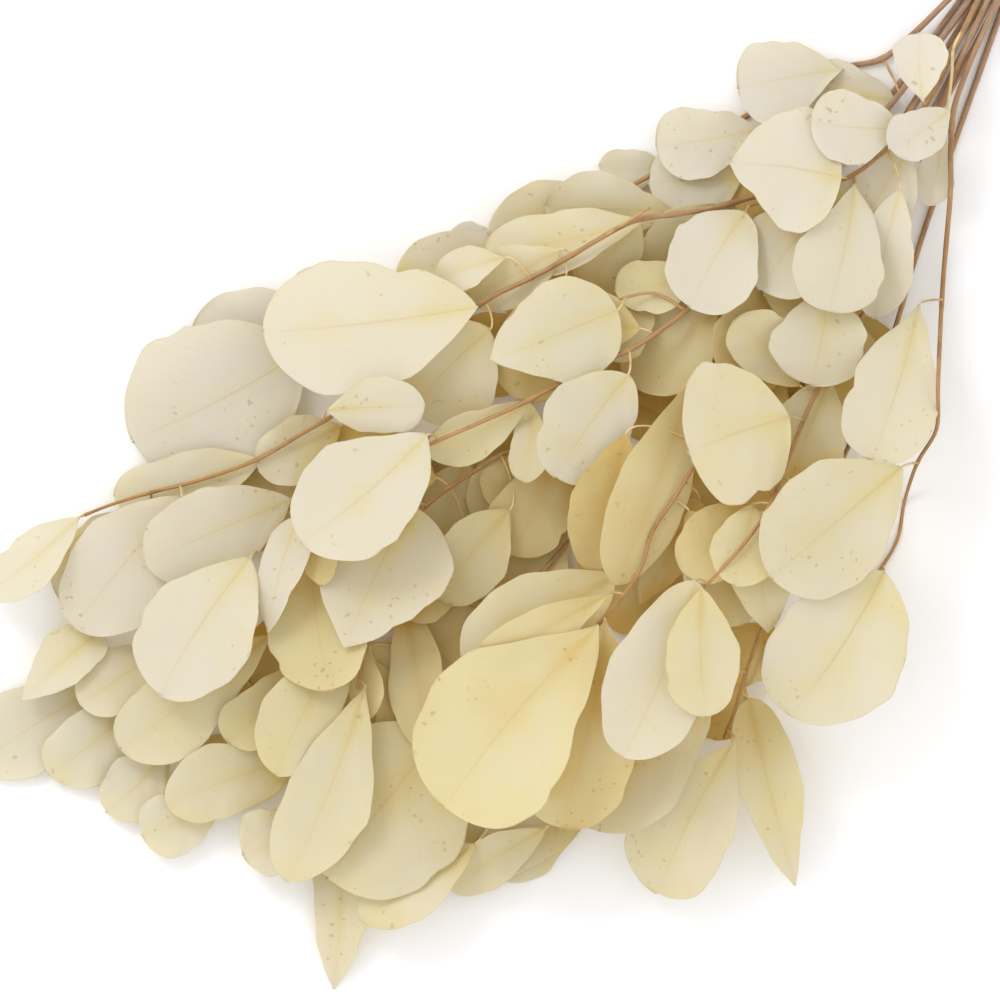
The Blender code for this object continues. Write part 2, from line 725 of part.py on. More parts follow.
def add_material(name, colour, roughness):
    material = bpy.data.materials.new(name)
    material.use_nodes = True
    shader = material.node_tree.nodes["Principled BSDF"]
    shader.inputs["Base Color"].default_value = (*colour, 1.0)
    shader.inputs["Roughness"].default_value = roughness
    return material


def stem_line(branch, line, rng):
    """A stem's few rings: its cut end beyond the tie, the tie, and then points along its line."""
    turn = math.radians(BARE_HEADING)
    start = line[0]
    layer, place = branch.slot
    spread = SPREAD * (1.5 - place) * SLOT_PITCH
    length = BARE_LENGTH + rng.uniform(-STAGGER, STAGGER)
    end = start + (
        length * math.cos(turn) - spread * math.sin(turn),
        length * math.sin(turn) + spread * math.cos(turn),
        LAYER_SPREAD * (layer - 1),
    )
    picks = ring_picks(len(line), STEM_RINGS)
    rings = np.vstack([end, line[picks]])
    radius = np.linspace(STEM_RADIUS, TIP_RADIUS, len(line))
    return rings, np.array([STEM_RADIUS, *radius[picks]])


def build_branch(branch, lines, leaves, collection, material, rng):
    """Fuses a stem with its twigs, petioles and leaves into one solid."""
    parts = bpy.data.collections.new(branch.name + "_parts")
    bpy.context.scene.collection.children.link(parts)
    rings, radius = stem_line(branch, lines[0], rng)
    stem = add_object(branch.name, *tube(rings, radius, STEM_SIDES), collection, material)
    for line in lines[1:]:
        picks = ring_picks(len(line), TWIG_RINGS)
        add_object("twig", *tube(line[picks], np.full(len(picks), TWIG_RADIUS), STEM_SIDES), parts, material)
    for leaf, slopes, height, stalk in leaves:
        add_object("leaf", *leaf_mesh(leaf, slopes, height, stalk), parts, material)
    fuse = stem.modifiers.new("fuse", "BOOLEAN")
    fuse.operation = "UNION"
    fuse.operand_type = "COLLECTION"
    fuse.collection = parts
    fuse.solver = SOLVER
    bpy.context.view_layer.objects.active = stem
    bpy.ops.object.modifier_apply(modifier=fuse.name)
    for piece in list(parts.objects):
        bpy.data.objects.remove(piece)
    bpy.data.collections.remove(parts)
    return stem


def band_loop(half_wide, half_high, corner):
    """A rounded box outline, as (across, up) points."""
    outline = []
    for side, (x, y) in enumerate(((1, 1), (-1, 1), (-1, -1), (1, -1))):
        for k in range(BAND_CORNER + 1):
            turn = math.pi / 2 * (side + k / BAND_CORNER)
            outline.append(
                (
                    x * (half_wide - corner) + corner * math.cos(turn),
                    y * (half_high - corner) + corner * math.sin(turn),
                )
            )
    return outline


def build_band(collection, material):
    """The band round the bare stems."""
    turn = math.radians(BARE_HEADING)
    along = np.array([math.cos(turn), math.sin(turn), 0.0])
    across = np.array([-math.sin(turn), math.cos(turn), 0.0])
    up = np.array([0.0, 0.0, 1.0])
    middle = np.array([*TIE, SLOT_HEIGHT + SLOT_PITCH]) + BAND_AT * along
    reach = 1.5 * SLOT_PITCH + STEM_RADIUS + BAND_GAP
    rise = SLOT_PITCH + STEM_RADIUS + BAND_GAP
    inner = band_loop(reach, rise, STEM_RADIUS)
    outer = band_loop(reach + BAND_THICK, rise + BAND_THICK, STEM_RADIUS + BAND_THICK)
    points = []
    for end in (-0.5, 0.5):
        for loop in (inner, outer):
            points += [middle + end * BAND_WIDE * along + a * across + h * up for a, h in loop]
    count = len(inner)
    faces = []
    for k in range(count):
        j = (k + 1) % count
        faces.append((k, j, 2 * count + j, 2 * count + k))
        faces.append((count + k, 3 * count + k, 3 * count + j, count + j))
        faces.append((k, count + k, count + j, j))
        faces.append((2 * count + k, 2 * count + j, 3 * count + j, 3 * count + k))
    return add_object("band", points, faces, collection, material)


def set_on_floor(pieces):
    """Moves the bunch so that the centre of its base is the origin."""
    bpy.context.view_layer.update()
    points = np.array([corner.co for piece in pieces for corner in piece.data.vertices])
    low, high = points.min(axis=0), points.max(axis=0)
    move = Vector((-(low[0] + high[0]) / 2, -(low[1] + high[1]) / 2, -low[2]))
    for piece in pieces:
        for corner in piece.data.vertices:
            corner.co += move


def main():
    for piece in list(bpy.data.objects):
        bpy.data.objects.remove(piece)
    collection = bpy.data.collections.new("eucalyptus_branch")
    bpy.context.scene.collection.children.link(collection)
    pieces = []
    rng = random.Random(SEED)
    for branch, lines, leaves in lay_bunch():
        material = add_material(branch.name, LEAF_COLOUR, 0.6)
        pieces.append(build_branch(branch, lines, leaves, collection, material, rng))
    pieces.append(build_band(collection, add_material("band", BAND_COLOUR, 0.5)))
    set_on_floor(pieces)


main()
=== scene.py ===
"""The looks of a bunch of dried broad-leaved eucalyptus that lies on its side on a pale floor.

The leaves and stems are laid by the same rule as the bunch's plain solids, so each fine leaf keeps the
place and form of its plain one. The camera looks straight down on the bunch.
"""

import math
import random
from collections import namedtuple

import bmesh
import bpy
import numpy as np
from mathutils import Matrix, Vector


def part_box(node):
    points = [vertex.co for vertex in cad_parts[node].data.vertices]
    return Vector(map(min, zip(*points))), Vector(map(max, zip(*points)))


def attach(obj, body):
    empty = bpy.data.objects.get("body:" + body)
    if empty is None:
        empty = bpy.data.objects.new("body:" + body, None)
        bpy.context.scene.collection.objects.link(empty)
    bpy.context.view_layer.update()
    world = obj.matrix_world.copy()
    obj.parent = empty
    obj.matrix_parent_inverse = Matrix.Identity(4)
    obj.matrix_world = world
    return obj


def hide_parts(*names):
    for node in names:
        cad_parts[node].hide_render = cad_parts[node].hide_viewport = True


MM = 0.001

# All plan places and sizes are in mm, seen from above: x to the right, y away from the viewer.
TIE = (204.0, 218.0)
BARE_HEADING = 51.3
BARE_LENGTH = 112.0
SLOT_PITCH = 3.5
STEM_RADIUS = 1.5
TIP_RADIUS = 0.75
TWIG_RADIUS = 0.7

Leaf = namedtuple(
    "Leaf",
    "base tip width shape pitch roll fold under",
    defaults=("oval", 0.0, 0.0, 8.0, False),
)
Branch = namedtuple("Branch", "name slot stem leaves twigs fill", defaults=((), ()))

# Outline powers: how slim the blade is towards its base and towards its tip.
SHAPES = {
    "round": (0.62, 0.46),
    "egg": (1.0, 0.46),
    "oval": (0.82, 0.54),
    "point": (0.52, 0.9),
    "lance": (1.05, 0.62),
}

# Slots are (layer from the table up, place from left to right) in the tie.
# The branches lie on each other in this order, and so do the leaves of each branch.
BRANCHES = (
    Branch(
        "branch_far_left",
        (0, 0),
        ((120, 116), (56, 68), (-12, 24), (-68, -16), (-112, -56), (-140, -80), (-156, -88)),
        (
            Leaf((10, 30), (-34, -6), 42, "oval", 0, 0, 0, True),
            Leaf((-84, -42), (-102, -88), 26, "oval", 0, 0, 6, True),
            Leaf((-162, -76), (-210, -107), 35, "oval", 0, 6, 6),
            Leaf((-148, -84), (-181, -111), 30, "oval", 4, -6, 8),
            Leaf((-134, -102), (-158, -126), 26, "oval", 0, 8, 10),
            Leaf((-112, -122), (-144, -134), 26, "egg", 0, -8, 10),
            Leaf((-100, -96), (-126, -108), 18, "lance", 4, 20, 10),
            Leaf((-138, -60), (-169, -82), 26, "oval", 6, 6, 10),
            Leaf((-160, -52), (-192, -80), 22, "point", 4, -10, 12),
            Leaf((-80, -102), (-134, -122), 30, "oval", 2, -6, 8),
        ),
        (((-112, -56), (-118, -84), (-122, -102), (-116, -116)), ((-112, -56), (-96, -82), (-86, -96))),
        (0.42, -0.52, 0.62, -0.74),
    ),
    Branch(
        "branch_bottom",
        (0, 2),
        (
            (152, 116), (116, 68), (76, 28), (40, -4), (8, -40), (-14, -76), (-26, -98),
            (-42, -122), (-56, -140),
        ),
        (
            Leaf((24, -2), (-6, -54), 36, "oval", 0, 6, 8, True),
            Leaf((-4, -42), (-28, -62), 24, "oval", 4, 8, 8, True),
            Leaf((34, -16), (66, -48), 36, "round", 0, -6, 6, True),
            Leaf((30, -112), (-12, -148), 38, "oval", 0, 0, 7, True),
            Leaf((-64, -134), (-67, -197), 24, "point", -4, 16, 14),
            Leaf((-76, -129), (-103, -143), 29, "oval", 2, 6, 8),
            Leaf((34, -128), (-10, -145), 24, "oval", 2, 12, 8),
            Leaf((18, -132), (-20, -157), 20, "oval", 0, -10, 8),
            Leaf((-10, -138), (-56, -168), 24, "oval", 0, 10, 10),
            Leaf((-52, -62), (-29, -126), 24, "lance", 0, -12, 8),
            Leaf((-23, -93), (-69, -152), 70, "round", 2, -3, 6),
            Leaf((-39, -40), (-30, -100), 23, "oval", 2, 14, 10),
        ),
        (((-26, -98), (0, -116), (22, -124)), ((-42, -122), (-66, -112), (-78, -114))),
        (0.35, -0.44, 0.53, -0.62, 0.72, -0.82),
    ),
    Branch(
        "branch_lower_right",
        (0, 3),
        ((172, 112), (156, 60), (136, 12), (116, -28), (102, -60), (96, -80), (90, -96)),
        (
            Leaf((110, -50), (90, -72), 26, "oval", 0, 12, 8, True),
            Leaf((100, -80), (119, -155), 25, "point", -2, 12, 30),
            Leaf((98, -74), (84, -96), 17, "oval", 0, 16, 10, True),
            Leaf((94, -96), (63, -158), 40, "egg", 0, 6, 8),
            Leaf((83, -70), (32, -129), 48, "oval", 0, 4, 8),
        ),
        (),
        (-0.40, -0.52, -0.64, -0.78),
    ),
    Branch(
        "branch_lower_left",
        (0, 1),
        (
            (140, 120), (96, 76), (56, 44), (24, 26), (4, 20), (-23, 3), (-33, -5),
            (-46, -32), (-54, -56), (-57, -76),
        ),
        (
            Leaf((-15, -18), (-40, -46), 28, "oval", 0, 8, 8, True),
            Leaf((-56, -54), (-53, -88), 14, "lance", 0, 16, 14, True),
            Leaf((-92, -54), (-152, -100), 34, "egg", 2, -4, 7),
            Leaf((-83, -66), (-108, -98), 24, "egg", 0, 10, 9),
            Leaf((-64, -58), (-90, -110), 32, "oval", 2, -8, 10),
            Leaf((-54, -75), (-85, -153), 35, "lance", 2, 4, 8),
            Leaf((-76, -22), (-68, -76), 40, "oval", 2, 6, 6),
            Leaf((4, -4), (-24, -40), 30, "oval", 2, -8, 9),
            Leaf((18, 9), (-8, 6), 22, "round", 0, 12, 8, True),
            Leaf((-35, -2), (-62, -59), 52, "point", 2, 4, 8),
        ),
        (((-46, -32), (-70, -40), (-86, -50)),),
        (0.42, -0.54, 0.66, -0.78),
    ),
    Branch(
        "branch_upper_left",
        (1, 0),
        (
            (159, 181), (143, 176), (116, 164), (88, 148), (62, 131), (54, 127), (24, 110),
            (-8, 95), (-40, 80), (-66, 66), (-78, 57),
        ),
        (
            Leaf((-62, 77), (-82, 91), 15, "oval", 0, 12, 8, True),
            Leaf((-60, 58), (-124, 68), 42, "oval", 0, 4, 7, True),
            Leaf((0, 102), (-20, 107), 14, "oval", 0, 16, 8, True),
            Leaf((18, 102), (-42, 90), 26, "lance", 0, 12, 8, True),
            Leaf((49, 122), (-5, 107), 27, "lance", 0, -10, 8, True),
            Leaf((68, 134), (40, 134), 17, "oval", 0, 12, 8, True),
            Leaf((98, 130), (60, 128), 32, "oval", 0, 8, 8),
            Leaf((105, 149), (63, 142), 30, "egg", 0, -8, 9),
            Leaf((159, 161), (122, 168), 25, "oval", 0, 6, 8),
            Leaf((137, 173), (96, 165), 35, "egg", 2, 4, 9),
            Leaf((-77, 61), (-148, 24), 66, "oval", 0, -5, 6),
        ),
        (),
        (0.32, 0.48, 0.64, 0.8),
    ),
    Branch(
        "branch_left",
        (1, 1),
        (
            (140, 140), (96, 120), (68, 114), (52, 111), (24, 95), (11, 88), (-10, 77),
            (-40, 52), (-70, 32), (-88, 22), (-100, 15), (-124, 7), (-148, 1), (-167, -6),
        ),
        (
            Leaf((-96, 16), (-155, 1), 27, "oval", 0, 8, 7, True),
            Leaf((-142, -6), (-177, -40), 34, "oval", 0, -6, 7, True),
            Leaf((-94, 12), (-78, 0), 10, "lance", 0, 20, 8, True),
            Leaf((-64, 30), (-97, 12), 26, "oval", 0, -10, 8, True),
            Leaf((70, 116), (18, 118), 28, "lance", 0, -10, 9, True),
            Leaf((88, 118), (58, 92), 26, "oval", 0, -6, 8, True),
            Leaf((56, 112), (34, 84), 26, "oval", 0, -12, 9, True),
            Leaf((58, 112), (-6, 100), 26, "lance", 2, 10, 9, True),
            Leaf((24, 100), (-12, 80), 24, "oval", 0, 14, 12, True),
            Leaf((2, 97), (-26, 88), 17, "lance", 4, -14, 20, True),
            Leaf((-4, 68), (-35, 36), 42, "round", 0, 6, 8),
            Leaf((-9, 77), (-95, 67), 54, "oval", 0, 4, 6),
            Leaf((-69, 36), (-30, 37), 23, "oval", 4, 8, 9),
            Leaf((-128, 1), (-171, -51), 42, "oval", 0, 5, 7),
            Leaf((-169, -7), (-207, -38), 22, "oval", 4, 20, 20),
        ),
        (((40, 104), (46, 108), (60, 117)),),
        (0.34, 0.5),
    ),
    Branch(
        "branch_middle",
        (1, 2),
        (
            (144, 128), (104, 96), (76, 77), (56, 62), (37, 54), (12, 40), (-24, 24), (-52, 12), (-79, 1),
            (-90, -8), (-97, -20),
        ),
        (
            Leaf((87, 76), (51, 48), 34, "oval", 0, 8, 8, True),
            Leaf((62, 82), (40, 58), 24, "oval", 0, -10, 8, True),
            Leaf((80, 90), (46, 84), 22, "oval", 0, 6, 8, True),
            Leaf((-72, -4), (-71, -34), 14, "lance", 0, 16, 8, True),
            Leaf((12, 40), (10, 7), 17, "lance", 0, 24, 26, True),
            Leaf((12, 39), (-29, 18), 20, "lance", 0, -10, 12, True),
            Leaf((-84, 0), (-142, -25), 38, "oval", 0, -5, 8),
            Leaf((-81, -7), (-93, -53), 18, "point", 0, 14, 16),
            Leaf((-100, -23), (-136, -78), 45, "oval", 0, 5, 7),
            Leaf((-29, 26), (-79, -17), 46, "oval", 2, 5, 7),
            Leaf((47, 76), (-4, 56), 42, "point", 0, -5, 7),
            Leaf((51, 50), (22, 9), 38, "round", 0, 6, 7),
        ),
        (((72, 76), (58, 84), (46, 80)),),
        (0.4, -0.54),
    ),
    Branch(
        "branch_centre",
        (1, 3),
        ((152, 112), (120, 64), (94, 36), (79, 16), (69, 0), (62, -8), (58, -24), (46, -42), (39, -50)),
        (
            Leaf((50, 26), (36, -28), 28, "oval", 0, 10, 10, True),
            Leaf((46, -30), (-13, -69), 42, "oval", 0, 8, 8, True),
            Leaf((80, 0), (56, -42), 20, "point", 2, 16, 12, True),
            Leaf((78, 52), (46, -34), 30, "lance", -2, -20, 16, True),
            Leaf((42, -48), (24, -131), 44, "egg", 0, -8, 9),
            Leaf((44, -37), (-10, -67), 20, "lance", 2, -14, 12),
            Leaf((39, -50), (-22, -122), 64, "egg", 0, 4, 6),
        ),
        (),
        (0.48, 0.82),
    ),
    Branch(
        "branch_centre_right",
        (2, 1),
        ((177, 158), (160, 104), (131, 48), (125, 40), (110, 4), (104, -8), (93, -22), (80, -36)),
        (
            Leaf((100, -2), (74, -30), 28, "oval", 0, 10, 9, True),
            Leaf((120, 46), (94, 72), 27, "oval", 4, -10, 9, True),
            Leaf((104, -6), (107, -53), 28, "point", 0, 8, 9, True),
            Leaf((101, -2), (93, -34), 26, "oval", 2, -8, 8, True),
            Leaf((132, 48), (116, 3), 34, "oval", 0, -8, 8, True),
            Leaf((78, -32), (49, -102), 40, "round", 0, 8, 8),
            Leaf((80, -35), (82, -86), 30, "oval", 0, -10, 9),
            Leaf((131, 82), (124, 46), 38, "round", 0, 6, 8),
            Leaf((115, 33), (75, 19), 58, "round", 0, 4, 6),
        ),
        (),
        (-0.46, 0.8),
    ),
    Branch(
        "branch_right",
        (2, 2),
        (
            (183, 160), (181, 128), (178, 84), (175, 48), (174, 23), (168, 16), (162, -4),
            (160, -16), (152, -30),
        ),
        (
            Leaf((178, 146), (172, 118), 15, "oval", 0, 20, 12, True),
            Leaf((168, 78), (148, 16), 38, "egg", -2, 6, 8, True),
            Leaf((153, -29), (116, -86), 53, "round", -3, 4, 7),
            Leaf((160, 13), (108, -31), 50, "oval", -2, -4, 7),
        ),
        (),
        (),
    ),
    Branch(
        "branch_front",
        (2, 0),
        ((172, 160), (162, 148), (152, 138), (142, 130), (132, 128), (114, 124), (100, 118)),
        (
            Leaf((130, 118), (104, 84), 36, "oval", 0, 8, 8, True),
            Leaf((164, 140), (140, 102), 32, "oval", 0, 0, 8, True),
            Leaf((160, 124), (150, 73), 24, "oval", 0, 20, 16),
            Leaf((142, 126), (131, 75), 37, "egg", 0, -8, 12),
            Leaf((98, 115), (76, 77), 38, "round", 0, 5, 8),
            Leaf((136, 129), (92, 135), 50, "point", 0, 5, 7),
            Leaf((160, 149), (124, 151), 30, "oval", 0, -8, 9),
            Leaf((180, 156), (156, 140), 21, "oval", 2, 10, 9),
            Leaf((169, 160), (168, 187), 22, "egg", 2, -6, 8),
        ),
        (((142, 130), (142, 122)), ((188, 192), (182, 181), (181, 166), (177, 148))),
        (),
    ),
)

# The plain pieces' sizes, and the gaps they keep to other branches and to their own.
SLOT_HEIGHT = 2.9
BLADE = 0.8
STALK = 0.6
NECK = 0.6
ARCH = 0.35
CLEAR = 1.8
OWN_CLEAR = 0.3

# The height grid.
CELL = 2.0
GRID_LOW = (-250.0, -240.0)
GRID_HIGH = (250.0, 260.0)

# Where the plain pieces have points.
STATIONS = (0.0, 0.13, 0.38, 0.68, 1.0)
FEW_STATIONS = (0.0, 0.2, 0.6, 1.0)
SHORT_BLADE = 36.0
STEM_RINGS = 4
TWIG_RINGS = 3
PATH_FINE = 8

# How a leaf settles: it follows the pile's slope, tips up or down, and stays near its root.
FOLLOW = 0.6
MOST_LEAN = 0.3
TIP_UPS = (0.0, 0.1, 0.2, 0.3, 0.4, 0.5, 0.6, -0.1, -0.2, -0.3)
TIP_COST = 22.0
REACH = 6.0
DROOP = 5.0
HANG = 0.5
ASIDE = 0.8
MOST_LIFT = 24.0

# Hidden leaves: degrees from the stem, mm off it, length, width with pitch and roll, and fold.
HIDDEN_TURN = (38, 62)
HIDDEN_OFF = 9
HIDDEN_LENGTH = (44, 54)
HIDDEN_WIDTH_PITCH_ROLL = ((32, 40), (-3, 3), (-8, 8))
HIDDEN_FOLD = 6

# How a stem settles: the length it bends over, its steepest fall, and its way from the tie.
STEP = 4.0
BEND = 14.0
SAG = 0.12
TIE_EASE = 44.0
TWIG_EASE = 12.0
MATES_END = 110.0
SEED = 7

# The bare ends beyond the tie, and the band.
SPREAD = 0.35
STAGGER = 9.0
LAYER_SPREAD = 1.2
BAND_AT = 4.0
BAND_GAP = 0.3
BAND_THICK = 1.1
BAND_WIDE = 5.0
BAND_CORDS = 4
BAND_CORNER = 6
BAND_SIDES = 8

# The fine blades: cells, and how much the surface and outline wander.
LEAF_THICK = 0.45
LEAST_HEIGHT = 0.55
LONG_CELLS = 30
WIDE_CELLS = 16
EDGE_WAVE = 1.2
RIPPLE = 0.5
UNEVEN = 0.03
NOTCH = -1.2
NOTCH_SIZE = 0.05
SWAY = 0.03
CREASE = 0.1
GROOVE = 0.1
GROOVE_SIZE = 0.05

# The fine stems, petioles and ribs.
STEM_FINE = 6
TWIG_FINE = 5
STEM_FINE_SIDES = 12
STEM_SHARE = 0.88
BARE_RINGS = 24
NODE_SWELL = 0.16
NODE_LENGTH = 2.6
STALK_SIDES = 8
STALK_RADIUS = 0.52
STALK_RINGS = 10
PETIOLE_PULL = 0.3
RIB_SIDES = 6
RIB_RADIUS = 0.4
RIB_LEAST = 0.06

# A blade's tone runs from 0, grey white, by cream and yellow to 1, deep tan.
TONES = {
    "branch_far_left": (None, 0.8, 0.28, 0.4, 0.4, 0.35, 0.75, 0.45, 0.4, 0.5),
    "branch_bottom": (0.5, 0.7, 0.6, 0.45, 0.3, 0.3, 0.4, 0.45, 0.45, 0.7, 0.45, 0.6),
    "branch_lower_right": (0.7, 0.45, 0.7, 0.36, 0.42),
    "branch_lower_left": (0.75, 0.65, 0.42, 0.55, 0.55, 0.45, 0.6, 0.6, 0.7, 0.34),
    "branch_upper_left": (0.2, 0.1, 0.15, 0.15, 0.25, 0.2, 0.25, 0.1, 0.1, 0.1, 0.1),
    "branch_left": (0.3, 0.2, 0.7, 0.3, 0.3, 0.45, 0.45, 0.4, 0.4, 0.35, 0.35, 0.25, 0.25, 0.2, 0.2),
    "branch_middle": (0.6, 0.6, 0.6, 0.7, 0.5, 0.55, 0.25, 0.15, 0.25, 0.28, 0.4, 0.3),
    "branch_centre": (0.85, 0.5, 0.6, 0.7, 0.65, 0.65, 0.62),
    "branch_centre_right": (0.8, 0.5, 0.5, 0.5, 0.4, 0.3, 0.5, 0.32, 0.4),
    "branch_right": (0.2, 0.3, 0.35, 0.35),
    "branch_front": (0.25, 0.15, 0.2, 0.25, 0.3, 0.2, 0.12, 0.1, 0.05),
}
# Hidden leaves get a random tone in this range, which is partly painted shade: it is set darker and more
# golden so that the gaps where they show look shaded.
HIDDEN_LEAF_TONE_AND_SHADE = (0.5, 0.75)
# Painted shade: places deep under the bunch's top leaves, and the leaves' undersides, get a darker and more
# golden tone.
DEEP_SHADE_AMOUNT = 0.6
DEEP_SHADE_FROM = 3.0
DEEP_SHADE_OVER = 26.0
# Painted shade on the undersides: a tone added to make them darker and more golden.
UNDERSIDE_SHADE = 0.2
COVER_INSET = 1
COVER_SOFT = 3
# The ramp's places are tones times TONE_SCALE, so that tones up to 1.6 fit in it.
TONE_SCALE = 0.625
TONE_RAMP = (
    (0.0, (0.785, 0.775, 0.745)),
    (0.19, (0.795, 0.775, 0.66)),
    (0.375, (0.795, 0.74, 0.45)),
    (0.625, (0.755, 0.61, 0.24)),
    (1.0, (0.70, 0.47, 0.09)),
)
# Veins and fine veins: sine lines along a blade, how far they slant to the tip, and how much they wander.
VEINS = 42.0
FINE_VEINS = 170.0
VEIN_SLANT = 0.42
VEIN_WANDER = 0.05
# What is added to the tone in patches, along the rib and at the base.
MOTTLING = 0.5
RIB_GLOW = 0.26
BASE_GLOW = 0.16
# How strongly each colour lies over the blade: veins, fine veins, rib, rim and specks.
LEAF_TINTS = (
    (0.16, (0.64, 0.53, 0.30)),
    (0.06, (0.60, 0.52, 0.34)),
    (0.62, (0.70, 0.55, 0.27)),
    (0.2, (0.60, 0.46, 0.26)),
    (0.4, (0.40, 0.26, 0.12)),
)
WORN = (0.45, (0.60, 0.42, 0.21))
WEATHERED = (0.4, (0.17, 0.08, 0.035))
# A stem's tone runs from 0 at its cut end to 0.35 at its tip, a petiole's on to 0.95.
BARK_RAMP = (
    (0.0, (0.29, 0.17, 0.12)),
    (0.1, (0.31, 0.18, 0.11)),
    (0.2, (0.36, 0.19, 0.07)),
    (0.35, (0.40, 0.21, 0.06)),
    (0.6, (0.60, 0.40, 0.15)),
    (1.0, (0.84, 0.70, 0.38)),
)
TWIG_TONES = (0.45, 0.85)
THROUGH_COLOUR = (0.96, 0.76, 0.32)
THROUGH_SHARE = 0.42

PICTURE_WIDTH = 400.0
FOCUS_HEIGHT = 35.0
CAMERA_HEIGHT = 5200.0
SENSOR = 36.0
WORLD_LIGHT = 1.18

# The stage, in metres and watts.
FLOOR_HALF = 3.0
FLOOR_HEIGHT = -0.0003
FLOOR_COLOUR = (0.93, 0.93, 0.95, 1.0)
KEY_PLACE = (-0.9, 0.9, 1.5)
KEY_AIM = 0.03
KEY_SIZE = 0.7
KEY_POWER = 9.0
KEY_COLOUR = (1.0, 0.985, 0.96)


def heading(start, end):
    """Length from start to end in plan, and its unit direction."""
    dx, dy = end[0] - start[0], end[1] - start[1]
    run = math.hypot(dx, dy)
    return run, (dx / run, dy / run)


def curve_through(guide, fine):
    """A curve through the guide's points but for its two ends, with fine points from one to the next."""
    curve = []
    for p0, p1, p2, p3 in zip(guide, guide[1:], guide[2:], guide[3:]):
        for u in np.linspace(0.0, 1.0, fine, endpoint=False):
            square = (2 * p0 - 5 * p1 + 4 * p2 - p3) * u**2
            cube = (3 * p1 - p0 - 3 * p2 + p3) * u**3
            curve.append(0.5 * (2 * p1 + (p2 - p0) * u + square + cube))
    return np.array([*curve, guide[-2]])


def between(at, places, points):
    """The points at the places in at, straight between the points that stand at places."""
    return np.stack([np.interp(at, places, points[:, k]) for k in range(points.shape[1])], axis=1)


def smooth_path(points, step):
    """A curve through the plan points, sampled evenly about every step."""
    curve = curve_through(np.array([points[0], *points, points[-1]], dtype=float), PATH_FINE)
    gone = np.concatenate([[0.0], np.cumsum(np.hypot(*np.diff(curve, axis=0).T))])
    even = np.linspace(0.0, gone[-1], max(3, round(gone[-1] / step) + 1))
    return between(even, gone, curve)


def slot_place(slot):
    """Where a stem passes the tie: plan place and height of its middle line."""
    layer, place = slot
    turn = math.radians(BARE_HEADING)
    shift = (1.5 - place - 0.5 * (layer == 2)) * SLOT_PITCH
    middle = (TIE[0] - math.sin(turn) * shift, TIE[1] + math.cos(turn) * shift)
    return middle, SLOT_HEIGHT + layer * SLOT_PITCH


def cells(plan):
    """Grid cells of plan places."""
    return tuple(((np.asarray(plan) - GRID_LOW) / CELL).round().astype(int).T)


class Pile:
    """Heights over a plan grid: top of the branches that already lie there, own of the branch that is laid
    now. Stems that share a layer of the tie run side by side near it, so apart leaves them out there."""

    def __init__(self):
        size = [round((high - low) / CELL) + 1 for low, high in zip(GRID_LOW, GRID_HIGH)]
        self.top = np.full(size, -CLEAR)
        self.apart = self.top.copy()
        self.own = self.top.copy()
        self.own_apart = self.top.copy()

    def floor(self, plan, mates=False):
        """How low a piece's underside may come over plan places. mates leaves out stems side by side."""
        where = cells(plan)
        others = (self.apart if mates else self.top)[where] + CLEAR
        return np.maximum(others, self.own[where] + OWN_CLEAR)

    def add(self, points, mates=False):
        """Lays down points (x, y, height), each over its own cell and those round it."""
        column, row = cells(points[:, :2])
        for grid in (self.own,) if mates else (self.own, self.own_apart):
            for i in (-1, 0, 1):
                for j in (-1, 0, 1):
                    np.maximum.at(grid, (column + i, row + j), points[:, 2])

    def close_branch(self):
        """The branch that was laid becomes a part of the pile."""
        self.top = np.maximum(self.top, self.own)
        self.apart = np.maximum(self.apart, self.own_apart)
        self.own = np.full(self.top.shape, -CLEAR)
        self.own_apart = self.own.copy()


def blade_outline(shape, t):
    """Half width of a blade at t from base to tip, as a share of its widest."""
    blunt_base, blunt_tip = SHAPES[shape]
    widest = blunt_base / (blunt_base + blunt_tip)
    t = np.clip(t, 0.0, 1.0)
    return (t / widest) ** blunt_base * ((1 - t) / (1 - widest)) ** blunt_tip


def blade_points(leaf, slopes, t, s):
    """Points of a blade: x, y in plan and the rise over its base. t runs from base to tip, s across."""
    run, along = heading(leaf.base, leaf.tip)
    across = (-along[1], along[0])
    reach = run * t
    half = np.maximum(0.5 * leaf.width * blade_outline(leaf.shape, t), NECK)
    side = half * s
    fold = math.tan(math.radians(leaf.fold))
    rise = slopes[0] * reach + slopes[1] * side + fold * abs(side) + ARCH * fold * run * 4 * t * (1 - t)
    x = leaf.base[0] + along[0] * reach + across[0] * side
    y = leaf.base[1] + along[1] * reach + across[1] * side
    return np.stack([x, y, rise], axis=-1)


def blade_net(leaf, slopes):
    """The few points that the plain blade is built on: stations from base to tip by left, rib, right."""
    run, _ = heading(leaf.base, leaf.tip)
    t = np.array(STATIONS if run > SHORT_BLADE and not leaf.under else FEW_STATIONS)[:, None]
    return blade_points(leaf, slopes, t, np.array([1.0, 0.0, -1.0])[None, :])


def blade_samples(net):
    """Points all over the plain blade."""
    fine = np.linspace(0, len(net) - 1, 8 * (len(net) - 1) + 1)
    rows = np.stack([between(fine, range(len(net)), net[:, j]) for j in (0, 1, 2)], axis=1)
    share = np.linspace(0, 2, 21)
    return np.concatenate([between(share, (0, 1, 2), row) for row in rows])


def pile_slope(pile, leaf, plan):
    """How the pile leans under a blade, along it and across it."""
    heights = pile.floor(plan)
    lean = np.linalg.lstsq(np.column_stack([plan, np.ones(len(plan))]), heights, rcond=None)[0][:2]
    _, along = heading(leaf.base, leaf.tip)
    steep = np.array([lean @ along, lean @ (-along[1], along[0])])
    return np.clip(FOLLOW * steep, -MOST_LEAN, MOST_LEAN)


